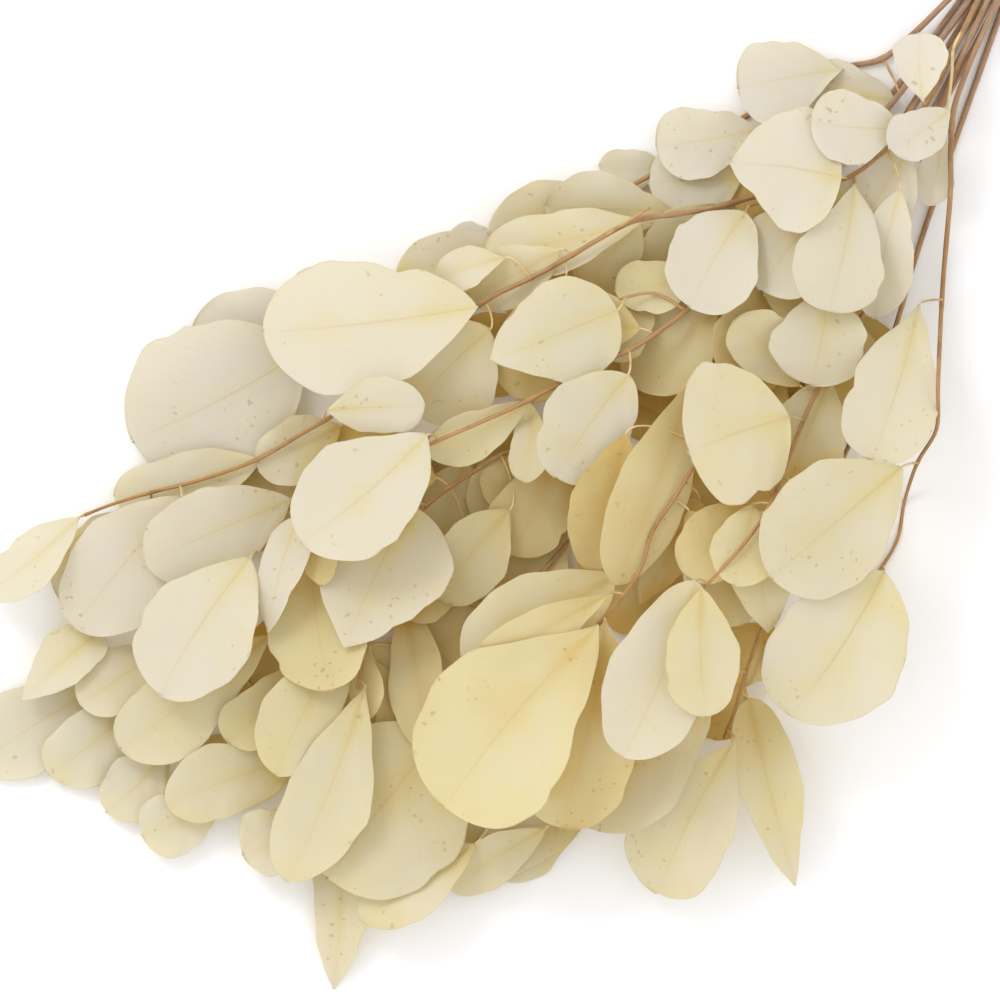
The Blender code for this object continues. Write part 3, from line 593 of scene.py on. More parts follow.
def lay_leaf(pile, leaf, root):
    """Slopes and base height of a leaf that comes down on the pile. It tips up or down, so that its base
    stays near root, the place on the stem where its petiole starts."""
    gap = math.hypot(root[0] - leaf.base[0], root[1] - leaf.base[1])
    hang = root[2] - DROOP - HANG * gap
    own = np.tan(np.radians([leaf.pitch, leaf.roll]))
    plan = blade_samples(blade_net(leaf, own))[:, :2]
    own = own + pile_slope(pile, leaf, plan)
    best = None
    for tip_up in TIP_UPS:
        slopes = own + (tip_up, 0.0)
        samples = blade_samples(blade_net(leaf, slopes))
        needed = pile.floor(samples[:, :2]) + BLADE - samples[:, 2]
        height = max(needed.max(), hang)
        cost = max(0.0, height - root[2] - REACH) + TIP_COST * abs(tip_up)
        if best is None or cost < best[0]:
            best = (cost, slopes, height, samples)
    _, slopes, height, samples = best
    pile.add(samples + (0.0, 0.0, height))
    return slopes, height


def stem_heights(pile, plan, radius, start, mates=True):
    """Heights of a stem's middle line: clear of the pile, without sharp bends, from start at the tie."""
    needed = pile.floor(plan, mates) + radius
    spread = round(BEND / STEP)
    padded = np.pad(needed, 2 * spread, mode="edge")
    highest = np.lib.stride_tricks.sliding_window_view(padded, 2 * spread + 1).max(axis=1)
    eased = np.lib.stride_tricks.sliding_window_view(highest, 2 * spread + 1).mean(axis=1)
    gone = STEP * np.arange(len(plan))
    eased = np.maximum(eased, start - SAG * gone)
    share = np.clip(gone / TIE_EASE, 0, 1)
    share = share * share * (3 - 2 * share)
    return start + share * (eased - start)


def ring_picks(count, every):
    """Which points of a line carry a ring of the plain stem."""
    return [*range(0, count - every + 1, every), count - 1]


def between_rings(line, every):
    """The same line, straight from ring to ring."""
    picks = ring_picks(len(line), every)
    return between(range(len(line)), picks, line[picks])


def lay_stem(pile, plan, radius, start):
    """Lays a stem on the pile and gives its middle line."""
    line = np.column_stack([plan, stem_heights(pile, plan, radius, start)])
    line = between_rings(line, STEM_RINGS)
    plan = line[:, :2]
    near = STEP * np.arange(len(plan)) < MATES_END
    tops = []
    for side in (-1.0, 0.0, 1.0):
        direction = np.gradient(plan, axis=0)
        direction /= np.linalg.norm(direction, axis=1)[:, None]
        offset = np.column_stack([-direction[:, 1], direction[:, 0]]) * (side * radius)[:, None]
        tops.append(np.column_stack([plan + offset, line[:, 2] + radius]))
    tops = np.stack(tops)
    pile.add(tops[:, near].reshape(-1, 3), mates=True)
    if (~near).any():
        pile.add(tops[:, ~near].reshape(-1, 3))
    return line


def nearest(lines, place):
    """The point of the stem and twigs nearest a plan place."""
    points = np.concatenate(lines)
    return points[np.hypot(points[:, 0] - place[0], points[:, 1] - place[1]).argmin()]


def leaf_root(lines, leaf):
    """The point of the stem and twigs that a leaf grows from, near its base and rather behind it."""
    points = np.concatenate(lines)
    _, along = heading(leaf.base, leaf.tip)
    way = np.array(leaf.base) - points[:, :2]
    gap = np.hypot(*way.T)
    return points[(gap + ASIDE * (gap - way @ along)).argmin()]


def leaf_stalk(pile, leaf, height, root):
    """A petiole from the stem to the blade: root, a bend behind the blade, and the blade's base."""
    _, along = heading(leaf.base, leaf.tip)
    base = np.array([*leaf.base, height])
    gap = math.hypot(base[0] - root[0], base[1] - root[1])
    bend = 0.5 * (base + root)
    bend[:2] -= 0.25 * gap * np.array(along)
    line = np.array([root, bend, base])
    share = np.linspace(0, 1, 9)
    for part in (0, 1):
        points = line[part] + share[:, None] * (line[part + 1] - line[part])
        lack = pile.top[cells(points[:, :2])] + CLEAR + STALK - points[:, 2]
        pull = share if part == 0 else 1 - share
        worth = pull > 0.4
        line[1, 2] += np.clip((lack[worth] / pull[worth]).max(), 0.0, MOST_LIFT)
    return line


def stalk_points(line):
    share = np.linspace(0, 1, 13)[:, None]
    points = np.concatenate([line[0] + share * (line[1] - line[0]), line[1] + share * (line[2] - line[1])])
    return points + (0, 0, STALK)


def hidden_leaves(branch, line, rng):
    """Plain leaves low down on a stem, on the side that each sign gives, that fill the bunch."""
    leaves = []
    for share in branch.fill:
        place = int(abs(share) * (len(line) - 2))
        _, ahead = heading(line[place], line[place + 1])
        turn = math.copysign(math.radians(rng.uniform(*HIDDEN_TURN)), share)
        way = math.atan2(ahead[1], ahead[0]) + turn
        base = (line[place][0] + HIDDEN_OFF * math.cos(way), line[place][1] + HIDDEN_OFF * math.sin(way))
        length = rng.uniform(*HIDDEN_LENGTH)
        tip = (base[0] + length * math.cos(way), base[1] + length * math.sin(way))
        width, pitch, roll = (rng.uniform(*span) for span in HIDDEN_WIDTH_PITCH_ROLL)
        leaves.append(Leaf(base, tip, width, "oval", pitch, roll, HIDDEN_FOLD, True))
    return leaves


def lay_branch(pile, branch, rng):
    """Lays one branch on the pile: low leaves, stem and twigs, then the leaves that lie over them."""
    middle, start = slot_place(branch.slot)
    plan = smooth_path((middle, *branch.stem), STEP)
    radius = np.linspace(STEM_RADIUS, TIP_RADIUS, len(plan))
    rough = np.column_stack([plan, stem_heights(pile, plan, radius, start)])
    twigs = [smooth_path(path, STEP) for path in branch.twigs]
    low = [leaf for leaf in branch.leaves if leaf.under] + hidden_leaves(branch, plan, rng)
    laid = []
    for leaf in low:
        laid.append((leaf, *lay_leaf(pile, leaf, leaf_root([rough], leaf))))
    lines = [lay_stem(pile, plan, radius, start)]
    for path in twigs:
        root = nearest(lines[:1], path[0])
        lines.append(lay_twig(pile, path, root))
    stalks = []
    for leaf, _, height in laid:
        stalks.append(leaf_stalk(pile, leaf, height, leaf_root(lines, leaf)))
        pile.add(stalk_points(stalks[-1]))
    for leaf in branch.leaves:
        if not leaf.under:
            root = leaf_root(lines, leaf)
            slopes, height = lay_leaf(pile, leaf, root)
            laid.append((leaf, slopes, height))
            stalks.append(leaf_stalk(pile, leaf, height, root))
            pile.add(stalk_points(stalks[-1]))
    pile.close_branch()
    return lines, [(*item, stalk) for item, stalk in zip(laid, stalks)]


def lay_twig(pile, path, root):
    """A side twig that starts in the stem's middle and lies on the pile."""
    radius = np.full(len(path), TWIG_RADIUS)
    height = stem_heights(pile, path, radius, root[2], mates=False)
    share = np.clip(STEP * np.arange(len(path)) / TWIG_EASE, 0, 1)
    line = np.column_stack([path, root[2] + share * (height - root[2])])
    line[0, :2] = root[:2]
    line = between_rings(line, TWIG_RINGS)
    pile.add(line + (0, 0, TWIG_RADIUS))
    return line


def lay_bunch():
    """All branches, from the lowest up: their stem lines, and each leaf with slopes, height and petiole."""
    pile = Pile()
    rng = random.Random(SEED)
    layer = 0
    bunch = []
    for branch in BRANCHES:
        if branch.slot[0] != layer:
            layer = branch.slot[0]
            pile.apart = pile.top.copy()
        bunch.append((branch, *lay_branch(pile, branch, rng)))
    return bunch


def unit_rows(rows):
    return rows / np.linalg.norm(rows, axis=-1, keepdims=True)


def put(name, data):
    """A new object with data, in the scene."""
    item = bpy.data.objects.new(name, data)
    bpy.context.scene.collection.objects.link(item)
    return item


class Piece:
    """Points, faces and per-point values gathered for one mesh. A triangle is a quad with its last corner
    given twice, which build() leaves out."""

    def __init__(self):
        self.points = []
        self.faces = []
        self.maps = []
        self.tones = []

    def add(self, points, faces, maps, tone):
        first = sum(len(block) for block in self.points)
        self.points.append(points)
        self.faces.append(np.asarray(faces) + first)
        self.maps.append(maps)
        self.tones.append(np.full(len(points), tone) if np.isscalar(tone) else tone)

    def build(self, name, material, node):
        points = (np.concatenate(self.points) + SHIFT) * MM
        faces = [tuple(dict.fromkeys(face)) for face in np.concatenate(self.faces).tolist()]
        mesh = bpy.data.meshes.new(name)
        mesh.from_pydata(points.tolist(), [], faces)
        maps = np.concatenate(self.maps)
        corners = np.empty(len(mesh.loops), dtype=np.int32)
        mesh.loops.foreach_get("vertex_index", corners)
        layer = mesh.uv_layers.new(name="blade")
        layer.data.foreach_set("uv", maps[corners].ravel())
        tone = mesh.attributes.new("tone", "FLOAT", "POINT")
        tone.data.foreach_set("value", np.concatenate(self.tones).astype(np.float32))
        mesh.polygons.foreach_set("use_smooth", np.ones(len(mesh.polygons), dtype=bool))
        mesh.materials.append(material)
        solid = bmesh.new()
        solid.from_mesh(mesh)
        bmesh.ops.recalc_face_normals(solid, faces=solid.faces)
        solid.to_mesh(mesh)
        solid.free()
        piece = put(name, mesh)
        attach(piece, "root")
        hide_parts(node)


def grid_faces(rows, columns, first=0, closed=False):
    """Quads between rows of points: closed joins the last column to the first."""
    faces = []
    last = columns if closed else columns - 1
    for i in range(rows - 1):
        for j in range(last):
            k = (j + 1) % columns
            a, b = first + i * columns, first + (i + 1) * columns
            faces.append((a + j, a + k, b + k, b + j))
    return faces


def fine_blade(leaf, slopes, height, rng):
    """A blade's top surface on a fine grid, with a waved edge and a slightly uneven outline."""
    run, along = heading(leaf.base, leaf.tip)
    across = np.array([-along[1], along[0]])
    t = 0.5 - 0.5 * np.cos(np.pi * np.linspace(0.0, 1.0, LONG_CELLS + 1))[:, None]
    s = np.sin(0.5 * np.pi * np.linspace(1.0, -1.0, WIDE_CELLS + 1))[None, :]
    points = blade_points(leaf, slopes, t, s) + (0.0, 0.0, height)
    if leaf.fold == 0:
        return points, t, s
    turns = [rng.uniform(0, 2 * math.pi) for _ in range(8)]
    size = min(1.0, leaf.width / 30)
    bulge = np.sin(np.pi * t) ** 0.5
    uneven = np.sin(5 * t + turns[0] + 1.5 * np.sign(s)) + 0.7 * np.sin(11 * t + turns[1] - s)
    uneven = uneven + 0.3 * np.sin(29 * t + turns[2] + 2 * s)
    notched = s > 0 if turns[7] > 3 else s < 0
    notch_at = 0.25 + 0.5 * abs(math.sin(turns[6]))
    uneven = uneven + NOTCH * np.exp(-(((t - notch_at) / NOTCH_SIZE) ** 2)) * notched
    sway = SWAY * run * np.sin(np.pi * t) * math.sin(turns[2])
    points[..., :2] += (sway + UNEVEN * leaf.width * uneven * s * bulge)[..., None] * across
    wave = 0.6 * np.sin(9 * t + turns[3] + 1.4 * np.sign(s)) + 0.4 * np.sin(17 * t + turns[4] - 2.0 * s)
    cup = 0.5 * (s**2 - 0.4) * math.sin(turns[5])
    ripple = np.sin(22 * t - 7 * abs(s) + turns[0]) * abs(s) * (1 - s**2) * bulge
    tilt = t**2 * math.sin(turns[1]) + s * t * math.sin(turns[4])
    side = 0.5 * leaf.width * blade_outline(leaf.shape, t) * s
    soft = CREASE * leaf.width
    crease = math.tan(math.radians(leaf.fold)) * (np.sqrt(side**2 + soft**2) - abs(side) - 0.5 * soft)
    points[..., 2] += EDGE_WAVE * size * (wave * abs(s) ** 3 + cup + tilt) + RIPPLE * size * ripple + crease
    return points, t, s


def painted_deep_shade(points, cover):
    """How much deeper than the bunch's top leaves points lie, as a darker, golden tone to add, which paints
    shade deep in the bunch.
    """
    buried = cover[cells(points[:, :2])] - points[:, 2]
    return DEEP_SHADE_AMOUNT * np.clip((buried - DEEP_SHADE_FROM) / DEEP_SHADE_OVER, 0.0, 1.0)


def add_blade(piece, leaf, slopes, height, tone, cover, rng):
    """A closed thin blade of top, underside and rim, whose underside points come back."""
    top, t, s = fine_blade(leaf, slopes, height, rng)
    rows, columns = top.shape[:2]
    normal = unit_rows(np.cross(np.gradient(top, axis=1), np.gradient(top, axis=0)))
    groove = GROOVE * np.exp(-((s / GROOVE_SIZE) ** 2)) * (1 - t)
    top = top + (groove[..., None] - 0.5 * (BLADE - LEAF_THICK)) * normal
    top[..., 2] = np.maximum(top[..., 2], LEAST_HEIGHT)
    edge = np.clip(1.6 - 1.3 * abs(s), 0.35, 1.0) * np.ones_like(t)
    under = top - (LEAF_THICK * edge)[..., None] * normal
    u = 0.5 + 0.5 * s * np.ones_like(t)
    v = t * np.ones_like(s)
    uv = np.stack([u, v], axis=-1).reshape(-1, 2)
    count = rows * columns
    faces = [face[::-1] for face in grid_faces(rows, columns)]
    faces += grid_faces(rows, columns, first=count)
    rim = [*range(columns)]
    rim += [i * columns + columns - 1 for i in range(1, rows)]
    rim += [(rows - 1) * columns + j for j in range(columns - 2, -1, -1)]
    rim += [i * columns for i in range(rows - 2, 0, -1)]
    for a, b in zip(rim, rim[1:] + rim[:1]):
        faces.append((a, b, b + count, a + count))
    points = np.concatenate([top.reshape(-1, 3), under.reshape(-1, 3)])
    # Painted shade deep in the bunch: points under the top leaves get a darker, more golden tone.
    tones = tone + painted_deep_shade(points, cover)
    # Painted shade on the undersides: they get a darker, more golden tone.
    tones[count:] += UNDERSIDE_SHADE
    piece.add(points, faces, np.concatenate([uv, uv]), tones)
    return under


def add_tube(piece, line, radius, sides, tone):
    """A closed round tube along a line."""
    along = unit_rows(np.gradient(line, axis=0))
    level = np.cross(along, (0.0, 0.0, 1.0))
    steep = np.linalg.norm(level, axis=1) < 0.05
    level[steep] = (1.0, 0.0, 0.0)
    level = unit_rows(level)
    up = np.cross(level, along)
    turn = 2 * np.pi * np.arange(sides) / sides
    ring = np.cos(turn)[None, :, None] * level[:, None] + np.sin(turn)[None, :, None] * up[:, None]
    points = line[:, None] + ring * np.asarray(radius).reshape(len(line), -1, 1)
    rows = len(line)
    faces = grid_faces(rows, sides, closed=True)
    gone = np.concatenate([[0.0], np.cumsum(np.linalg.norm(np.diff(line, axis=0), axis=1))])
    uv = np.stack(np.broadcast_arrays(np.arange(sides)[None, :] / sides, gone[:, None] / 20), axis=-1)
    uv = uv.reshape(-1, 2)
    points = np.concatenate([points.reshape(-1, 3), line[:1], line[-1:]])
    uv = np.concatenate([uv, uv[:1], uv[-1:]])
    start, end = rows * sides, rows * sides + 1
    last = (rows - 1) * sides
    for k in range(sides):
        j = (k + 1) % sides
        faces.append((start, j, k, k))
        faces.append((end, last + k, last + j, last + j))
    tones = np.repeat(np.broadcast_to(tone, rows), sides)
    piece.add(points, faces, uv, np.concatenate([tones, tones[:1], tones[-1:]]))


def petiole_line(stalk, rib, count):
    """A smooth bend from the stem to the blade, where it runs on into the rib."""
    u = np.linspace(0, 1, count)[:, None]
    start, middle, end = stalk
    ahead = unit_rows(rib[2] - rib[0])
    leave = start + PETIOLE_PULL * (middle - start)
    arrive = end - PETIOLE_PULL * np.hypot(*(end - start)[:2]) * ahead
    return (1 - u) ** 3 * start + 3 * u * (1 - u) ** 2 * leave + 3 * u**2 * (1 - u) * arrive + u**3 * end


def smooth_line(line, every, fine):
    """A curve through every few points of a line."""
    guide = line[ring_picks(len(line), every)]
    return curve_through(np.vstack([2 * guide[0] - guide[1], guide, 2 * guide[-1] - guide[-2]]), fine)


def cut_end(branch, start, rng):
    """The cut end of a stem, beyond the tie."""
    turn = math.radians(BARE_HEADING)
    layer, place = branch.slot
    spread = SPREAD * (1.5 - place) * SLOT_PITCH
    length = BARE_LENGTH + rng.uniform(-STAGGER, STAGGER)
    return start + (
        length * math.cos(turn) - spread * math.sin(turn),
        length * math.sin(turn) + spread * math.cos(turn),
        LAYER_SPREAD * (layer - 1),
    )


def add_stem(piece, branch, line, stalks, cut_rng, rng):
    """A stem from its cut end to its tip, thicker at the nodes its leaves grow from."""
    curve = smooth_line(line, STEM_RINGS, STEM_FINE)
    end = cut_end(branch, line[0], cut_rng)
    bare = end + np.linspace(0, 1, BARE_RINGS, endpoint=False)[:, None] * (curve[0] - end)
    tapered = np.linspace(STEM_RADIUS, TIP_RADIUS, len(curve))
    radius = np.concatenate([np.full(BARE_RINGS, STEM_RADIUS), tapered])
    curve = np.concatenate([bare, curve])
    places = [stalk[0] for stalk in stalks]
    places += [bare[k] for k in (rng.randrange(3, 9), rng.randrange(13, 20))]
    for place in places:
        near = np.linalg.norm(curve - place, axis=1)
        radius = radius * (1 + NODE_SWELL * np.exp(-((near / NODE_LENGTH) ** 2)))
    gone = np.concatenate([[0.0], np.cumsum(np.linalg.norm(np.diff(curve, axis=0), axis=1))])
    phase = rng.uniform(0, 6)
    curve[:, 2] += 0.15 * np.sin(gone / 7 + phase)
    turn = np.arange(STEM_FINE_SIDES)[None, :]
    far = gone[:, None]
    rough = 1 + 0.03 * np.sin(2.1 * turn + far / 9 + phase) + 0.02 * np.sin(5 * turn + far / 3)
    add_tube(piece, curve, STEM_SHARE * radius[:, None] * rough, STEM_FINE_SIDES, 0.35 * gone / gone[-1])


def add_stalk(piece, stalk, under):
    """A petiole, and the rib that goes on from it under the blade."""
    rib = under[:-2:2, under.shape[1] // 2]
    line = petiole_line(stalk, rib, STALK_RINGS)
    share = np.linspace(0, 1, STALK_RINGS)
    radius = STALK_RADIUS * (1.15 - 0.35 * np.sin(0.5 * np.pi * share))
    add_tube(piece, line, radius, STALK_SIDES, 0.5 + 0.45 * share)
    share = np.linspace(0, 1, len(rib))
    add_tube(piece, rib, RIB_RADIUS * (1 - share) + RIB_LEAST, RIB_SIDES, 0.95)


class Graph:
    """A new material, with short calls for its nodes."""

    def __init__(self, name):
        self.material = bpy.data.materials.new(name)
        self.material.use_nodes = True
        self.tree = self.material.node_tree
        self.tree.nodes.clear()

    def node(self, kind, **values):
        node = self.tree.nodes.new("ShaderNode" + kind)
        for name, value in values.items():
            setattr(node, name, value)
        return node

    def link(self, source, target):
        if isinstance(source, (int, float, tuple)):
            target.default_value = source
        else:
            self.tree.links.new(source, target)

    def math(self, operation, *inputs):
        node = self.node("Math", operation=operation)
        for source, socket in zip(inputs, node.inputs):
            self.link(source, socket)
        return node.outputs[0]

    def times(self, first, second):
        return self.math("MULTIPLY", first, second)

    def ramp(self, value, stops):
        node = self.node("ValToRGB")
        while len(node.color_ramp.elements) < len(stops):
            node.color_ramp.elements.new(0.5)
        for element, (place, colour) in zip(node.color_ramp.elements, stops):
            element.position = place
            element.color = (*colour, 1.0)
        self.link(value, node.inputs[0])
        return node.outputs[0]

    def mix(self, share, first, second):
        node = self.node("Mix", data_type="RGBA")
        self.link(share, node.inputs[0])
        for source, socket in ((first, node.inputs[6]), (second, node.inputs[7])):
            if isinstance(source, tuple):
                source = (*source, 1.0)
            self.link(source, socket)
        return node.outputs[2]

    def smooth(self, value, low, high):
        node = self.node("MapRange", interpolation_type="SMOOTHSTEP")
        for source, socket in ((value, node.inputs[0]), (low, node.inputs[1]), (high, node.inputs[2])):
            self.link(source, socket)
        return node.outputs[0]

    def fade(self, value, high):
        """From 1 where value is 0 down to 0 where it is high."""
        return self.math("SUBTRACT", 1.0, self.smooth(value, 0.0, high))

    def noise(self, where, scale, detail=3.0, rough=0.55):
        node = self.node("TexNoise")
        for name, value in (("Vector", where), ("Scale", scale), ("Detail", detail), ("Roughness", rough)):
            self.link(value, node.inputs[name])
        return node.outputs[0]

    def place(self):
        return self.node("NewGeometry").outputs["Position"]

    def blade_map(self):
        return self.node("UVMap", uv_map="blade").outputs[0]

    def tone(self):
        return self.node("Attribute", attribute_name="tone").outputs["Fac"]

    def tint(self, colour, mask, look):
        """Lays the look's colour over colour, as strongly as the look says, where mask is 1."""
        share, over = look
        return self.mix(self.times(mask, share), colour, over)

    def principled(self, colour, roughness, relief=None, strength=0.0, depth=0.0):
        """A Principled shader, with a bump of relief's height where relief is given."""
        shader = self.node("BsdfPrincipled")
        self.link(colour, shader.inputs["Base Color"])
        shader.inputs["Roughness"].default_value = roughness
        if relief is not None:
            bump = self.node("Bump")
            bump.inputs["Strength"].default_value = strength
            bump.inputs["Distance"].default_value = depth
            self.link(relief, bump.inputs["Height"])
            self.link(bump.outputs[0], shader.inputs["Normal"])
        return shader

    def finish(self, shader):
        output = self.node("OutputMaterial")
        self.link(shader.outputs[0], output.inputs["Surface"])
        return self.material


def leaf_material():
    """Dried leaf: matt, finely veined and specked, yellow along the rib, some light coming through."""
    g = Graph("dried_leaf")
    place = g.place()
    parts = g.node("SeparateXYZ")
    g.link(g.blade_map(), parts.inputs[0])
    side = g.math("ABSOLUTE", g.math("SUBTRACT", g.times(parts.outputs[0], 2.0), 1.0))
    length = parts.outputs[1]
    to_tip = g.math("SUBTRACT", 1.0, length)
    bend = g.times(g.math("POWER", side, 0.8), VEIN_SLANT)
    wander = g.times(g.noise(place, 90.0, 1.0), VEIN_WANDER)
    lines = g.math("ADD", g.math("SUBTRACT", length, bend), wander)
    vein = g.fade(g.math("ABSOLUTE", g.math("SINE", g.times(lines, VEINS))), 0.2)
    vein = g.times(vein, g.smooth(g.noise(place, 55.0, 1.0), 0.3, 0.6))
    fine = g.fade(g.math("ABSOLUTE", g.math("SINE", g.times(lines, FINE_VEINS))), 0.6)
    rib = g.times(g.fade(side, 0.032), g.math("ADD", 0.25, g.times(to_tip, 0.75)))
    cloud = g.noise(place, 35.0, 2.0)
    # The tone attribute holds each blade's own tone plus the painted shade deep in the bunch and on the
    # undersides.
    mottled = g.math("ADD", g.tone(), g.times(g.math("SUBTRACT", cloud, 0.5), MOTTLING))
    glow = g.times(g.fade(side, 0.4), g.times(to_tip, RIB_GLOW))
    warm = g.math("ADD", g.times(g.fade(length, 0.4), BASE_GLOW), glow)
    colour = g.ramp(g.times(g.math("ADD", mottled, warm), TONE_SCALE), TONE_RAMP)
    specks = g.smooth(g.noise(place, 420.0, 0.0), 0.74, 0.8)
    specks = g.times(specks, g.smooth(cloud, 0.5, 0.62))
    for mask, look in zip((vein, fine, rib, g.smooth(side, 0.97, 1.0), specks), LEAF_TINTS):
        colour = g.tint(colour, mask, look)
    shader = g.principled(colour, 0.55, g.noise(place, 260.0, 0.0), 0.4, 0.0002)
    through = g.node("BsdfTranslucent")
    g.link(g.mix(0.45, colour, THROUGH_COLOUR), through.inputs["Color"])
    both = g.node("MixShader")
    both.inputs[0].default_value = THROUGH_SHARE
    g.link(shader.outputs[0], both.inputs[1])
    g.link(through.outputs[0], both.inputs[2])
    return g.finish(both)


def bark_material():
    """Stem bark: brown and streaked along, going paler and yellower along the petioles and ribs."""
    g = Graph("stem_bark")
    stretch = g.node("Mapping")
    stretch.inputs["Scale"].default_value = (26.0, 3.0, 1.0)
    g.link(g.blade_map(), stretch.inputs["Vector"])
    streak = g.noise(stretch.outputs[0], 1.0, 5.0, 0.65)
    patch = g.noise(g.place(), 120.0, 4.0)
    colour = g.tint(g.ramp(g.tone(), BARK_RAMP), g.smooth(streak, 0.46, 0.62), WORN)
    colour = g.tint(colour, g.smooth(patch, 0.52, 0.68), WEATHERED)
    return g.finish(g.principled(colour, 0.62, streak, 0.5, 0.0004))


def band_material():
    """Pale brown rubber."""
    g = Graph("band_rubber")
    colour = g.mix(g.noise(g.place(), 300.0), (0.55, 0.40, 0.22), (0.68, 0.53, 0.33))
    return g.finish(g.principled(colour, 0.5))


def around(grid, reach):
    """Each cell's neighbours within reach, along the last two axes."""
    padded = np.pad(grid, reach, mode="edge")
    return np.lib.stride_tricks.sliding_window_view(padded, (2 * reach + 1, 2 * reach + 1))


def cover_of(bunch):
    """The height of the bunch's topmost leaves over the plan grid, with soft edges, which sets where shade
    is painted deep in the bunch.
    """
    pile = Pile()
    for _, _, leaves in bunch:
        for leaf, slopes, height, _ in leaves:
            pile.add(blade_samples(blade_net(leaf, slopes)) + (0.0, 0.0, height))
    inner = around(np.maximum(pile.own, 0.0), COVER_INSET).min(axis=(2, 3))
    return around(inner, COVER_SOFT).mean(axis=(2, 3))


def build_branch(branch, lines, leaves, cover, looks, cut_rng, rng):
    blades = Piece()
    wood = Piece()
    tones = [tone for leaf, tone in zip(branch.leaves, TONES[branch.name]) if leaf.under]
    tones += [None] * (len(leaves) - len(branch.leaves))
    tones += [tone for leaf, tone in zip(branch.leaves, TONES[branch.name]) if not leaf.under]
    for (leaf, slopes, height, stalk), tone in zip(leaves, tones):
        # Hidden fill leaves take a random tone that is partly painted shade, darker and more golden for the
        # gaps.
        tone = rng.uniform(*HIDDEN_LEAF_TONE_AND_SHADE) if tone is None else tone + rng.uniform(-0.04, 0.04)
        under = add_blade(blades, leaf, slopes, height, tone, cover, rng)
        add_stalk(wood, stalk, under)
    add_stem(wood, branch, lines[0], [leaf[3] for leaf in leaves], cut_rng, rng)
    for line, tone in zip(lines[1:], TWIG_TONES):
        curve = smooth_line(line, TWIG_RINGS, TWIG_FINE)
        radius = np.linspace(TWIG_RADIUS, 0.8 * TWIG_RADIUS, len(curve))
        add_tube(wood, curve, radius, STALK_SIDES, tone)
    blades.build(branch.name + "_leaves", looks[0], branch.name)
    wood.build(branch.name + "_wood", looks[1], branch.name)


def band_loop(half_wide, half_high, corner):
    """A rounded box outline, as (across, up) points."""
    outline = []
    for side, (x, y) in enumerate(((1, 1), (-1, 1), (-1, -1), (1, -1))):
        for k in range(BAND_CORNER + 1):
            turn = math.pi / 2 * (side + k / BAND_CORNER)
            wide = x * (half_wide - corner) + corner * math.cos(turn)
            outline.append((wide, y * (half_high - corner) + corner * math.sin(turn)))
    return np.array(outline)


def build_band(look):
    """The elastic wound a few times round the bare stems."""
    turn = math.radians(BARE_HEADING)
    along = np.array([math.cos(turn), math.sin(turn), 0.0])
    across = np.array([-math.sin(turn), math.cos(turn), 0.0])
    up = np.array([0.0, 0.0, 1.0])
    reach = 1.5 * SLOT_PITCH + STEM_RADIUS + BAND_GAP + 0.5 * BAND_THICK
    rise = SLOT_PITCH + STEM_RADIUS + BAND_GAP + 0.5 * BAND_THICK
    loop = band_loop(reach, rise, STEM_RADIUS + 0.5 * BAND_THICK)
    band = Piece()
    sides = BAND_SIDES
    turns = 2 * np.pi * np.arange(sides) / sides
    cord = BAND_WIDE / BAND_CORDS
    for k in range(BAND_CORDS):
        offset = (k - 0.5 * (BAND_CORDS - 1)) * cord
        centre = BAND_MIDDLE + offset * along + loop[:, :1] * across + loop[:, 1:] * up
        outward = unit_rows(loop[:, :1] * across + loop[:, 1:] * up)
        flat = 0.5 * cord * np.cos(turns)[None, :, None] * along
        thick = 0.5 * BAND_THICK * np.sin(turns)[None, :, None] * outward[:, None]
        points = (centre[:, None] + flat + thick).reshape(-1, 3)
        rows = len(loop)
        faces = grid_faces(rows, sides, closed=True)
        last = (rows - 1) * sides
        faces += [(last + j, last + (j + 1) % sides, (j + 1) % sides, j) for j in range(sides)]
        band.add(points, faces, np.zeros((len(points), 2)), 0.5)
    band.build("band_cords", look, "band")


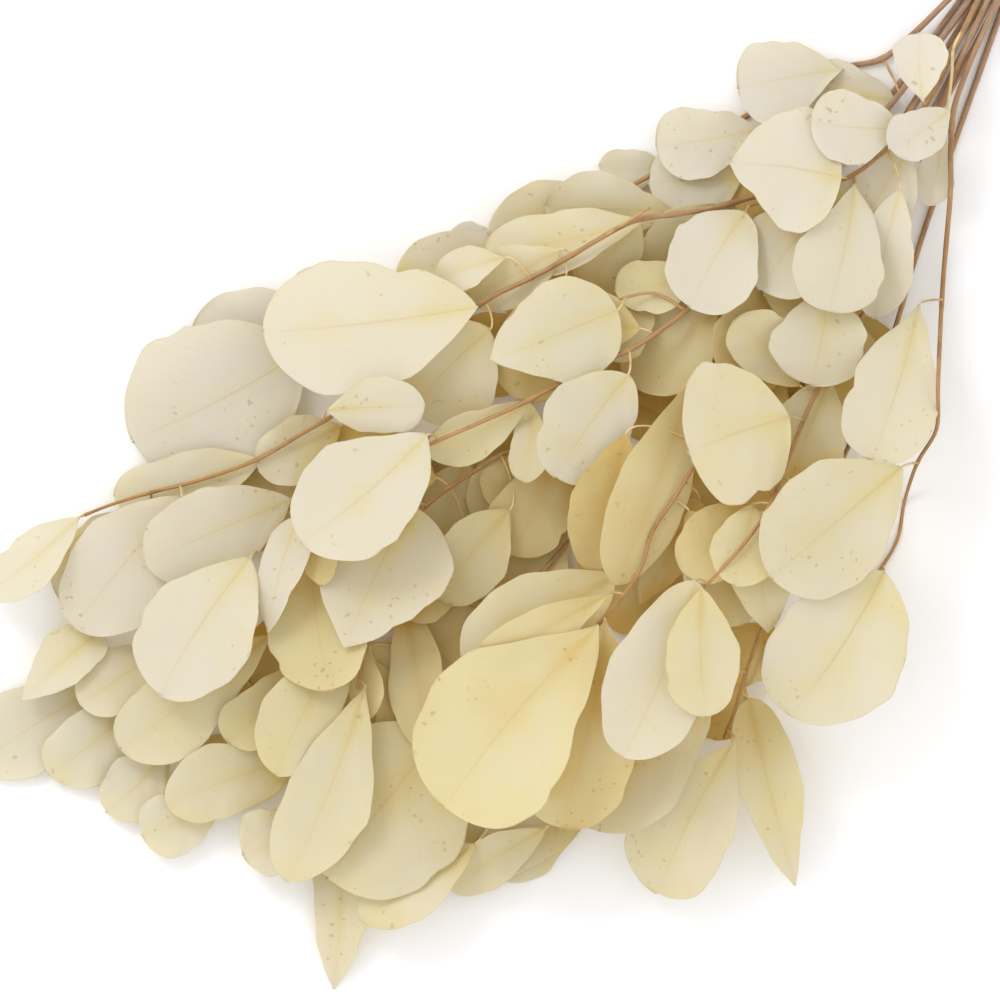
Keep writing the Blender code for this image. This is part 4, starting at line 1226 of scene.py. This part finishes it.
def build_stage():
    """A pale floor, a soft studio light from the upper left and a pale surround."""
    floor = bpy.data.meshes.new("floor")
    signs = ((-1, -1), (1, -1), (1, 1), (-1, 1))
    corners = [(x * FLOOR_HALF, y * FLOOR_HALF, FLOOR_HEIGHT) for x, y in signs]
    floor.from_pydata(corners, [], [(0, 1, 2, 3)])
    g = Graph("floor_paper")
    floor.materials.append(g.finish(g.principled(FLOOR_COLOUR, 0.9)))
    ground = put("floor", floor)
    world = bpy.data.worlds.new("studio")
    bpy.context.scene.world = world
    world.use_nodes = True
    surround = world.node_tree.nodes["Background"]
    surround.inputs[0].default_value = (1.0, 1.0, 1.0, 1.0)
    surround.inputs[1].default_value = WORLD_LIGHT
    key = bpy.data.lights.new("key", "AREA")
    key.shape = "DISK"
    key.size = KEY_SIZE
    key.energy = KEY_POWER
    key.color = KEY_COLOUR
    lamp = put("key", key)
    lamp.location = KEY_PLACE
    way = Vector((SHIFT[0] * MM, SHIFT[1] * MM, KEY_AIM)) - lamp.location
    lamp.rotation_euler = way.to_track_quat("-Z", "Y").to_euler()


def build_camera():
    data = bpy.data.cameras.new("camera")
    data.sensor_width = SENSOR
    data.lens = SENSOR * (CAMERA_HEIGHT - FOCUS_HEIGHT) / PICTURE_WIDTH
    data.clip_end = 20.0
    camera = put("camera", data)
    camera.location = (SHIFT[0] * MM, SHIFT[1] * MM, CAMERA_HEIGHT * MM)
    bpy.context.scene.camera = camera


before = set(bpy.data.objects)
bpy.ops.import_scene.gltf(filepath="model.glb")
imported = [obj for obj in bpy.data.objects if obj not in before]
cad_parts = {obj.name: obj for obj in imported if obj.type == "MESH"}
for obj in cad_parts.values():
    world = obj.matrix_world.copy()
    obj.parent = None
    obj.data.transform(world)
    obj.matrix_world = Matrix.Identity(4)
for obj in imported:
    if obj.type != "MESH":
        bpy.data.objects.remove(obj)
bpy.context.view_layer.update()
low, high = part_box("band")
turn = math.radians(BARE_HEADING)
BAND_MIDDLE = np.array([*TIE, SLOT_HEIGHT + SLOT_PITCH])
BAND_MIDDLE += BAND_AT * np.array([math.cos(turn), math.sin(turn), 0.0])
SHIFT = np.array([*((np.array(low[:2]) + np.array(high[:2])) / 2 / MM - BAND_MIDDLE[:2]), 0.0])

looks = (leaf_material(), bark_material())
bunch = lay_bunch()
cover = cover_of(bunch)
cut_rng = random.Random(SEED)
rng = random.Random(SEED + 1)
for branch, lines, leaves in bunch:
    build_branch(branch, lines, leaves, cover, looks, cut_rng, rng)
build_band(band_material())
build_stage()
build_camera()
bpy.context.scene.view_settings.view_transform = "Standard"
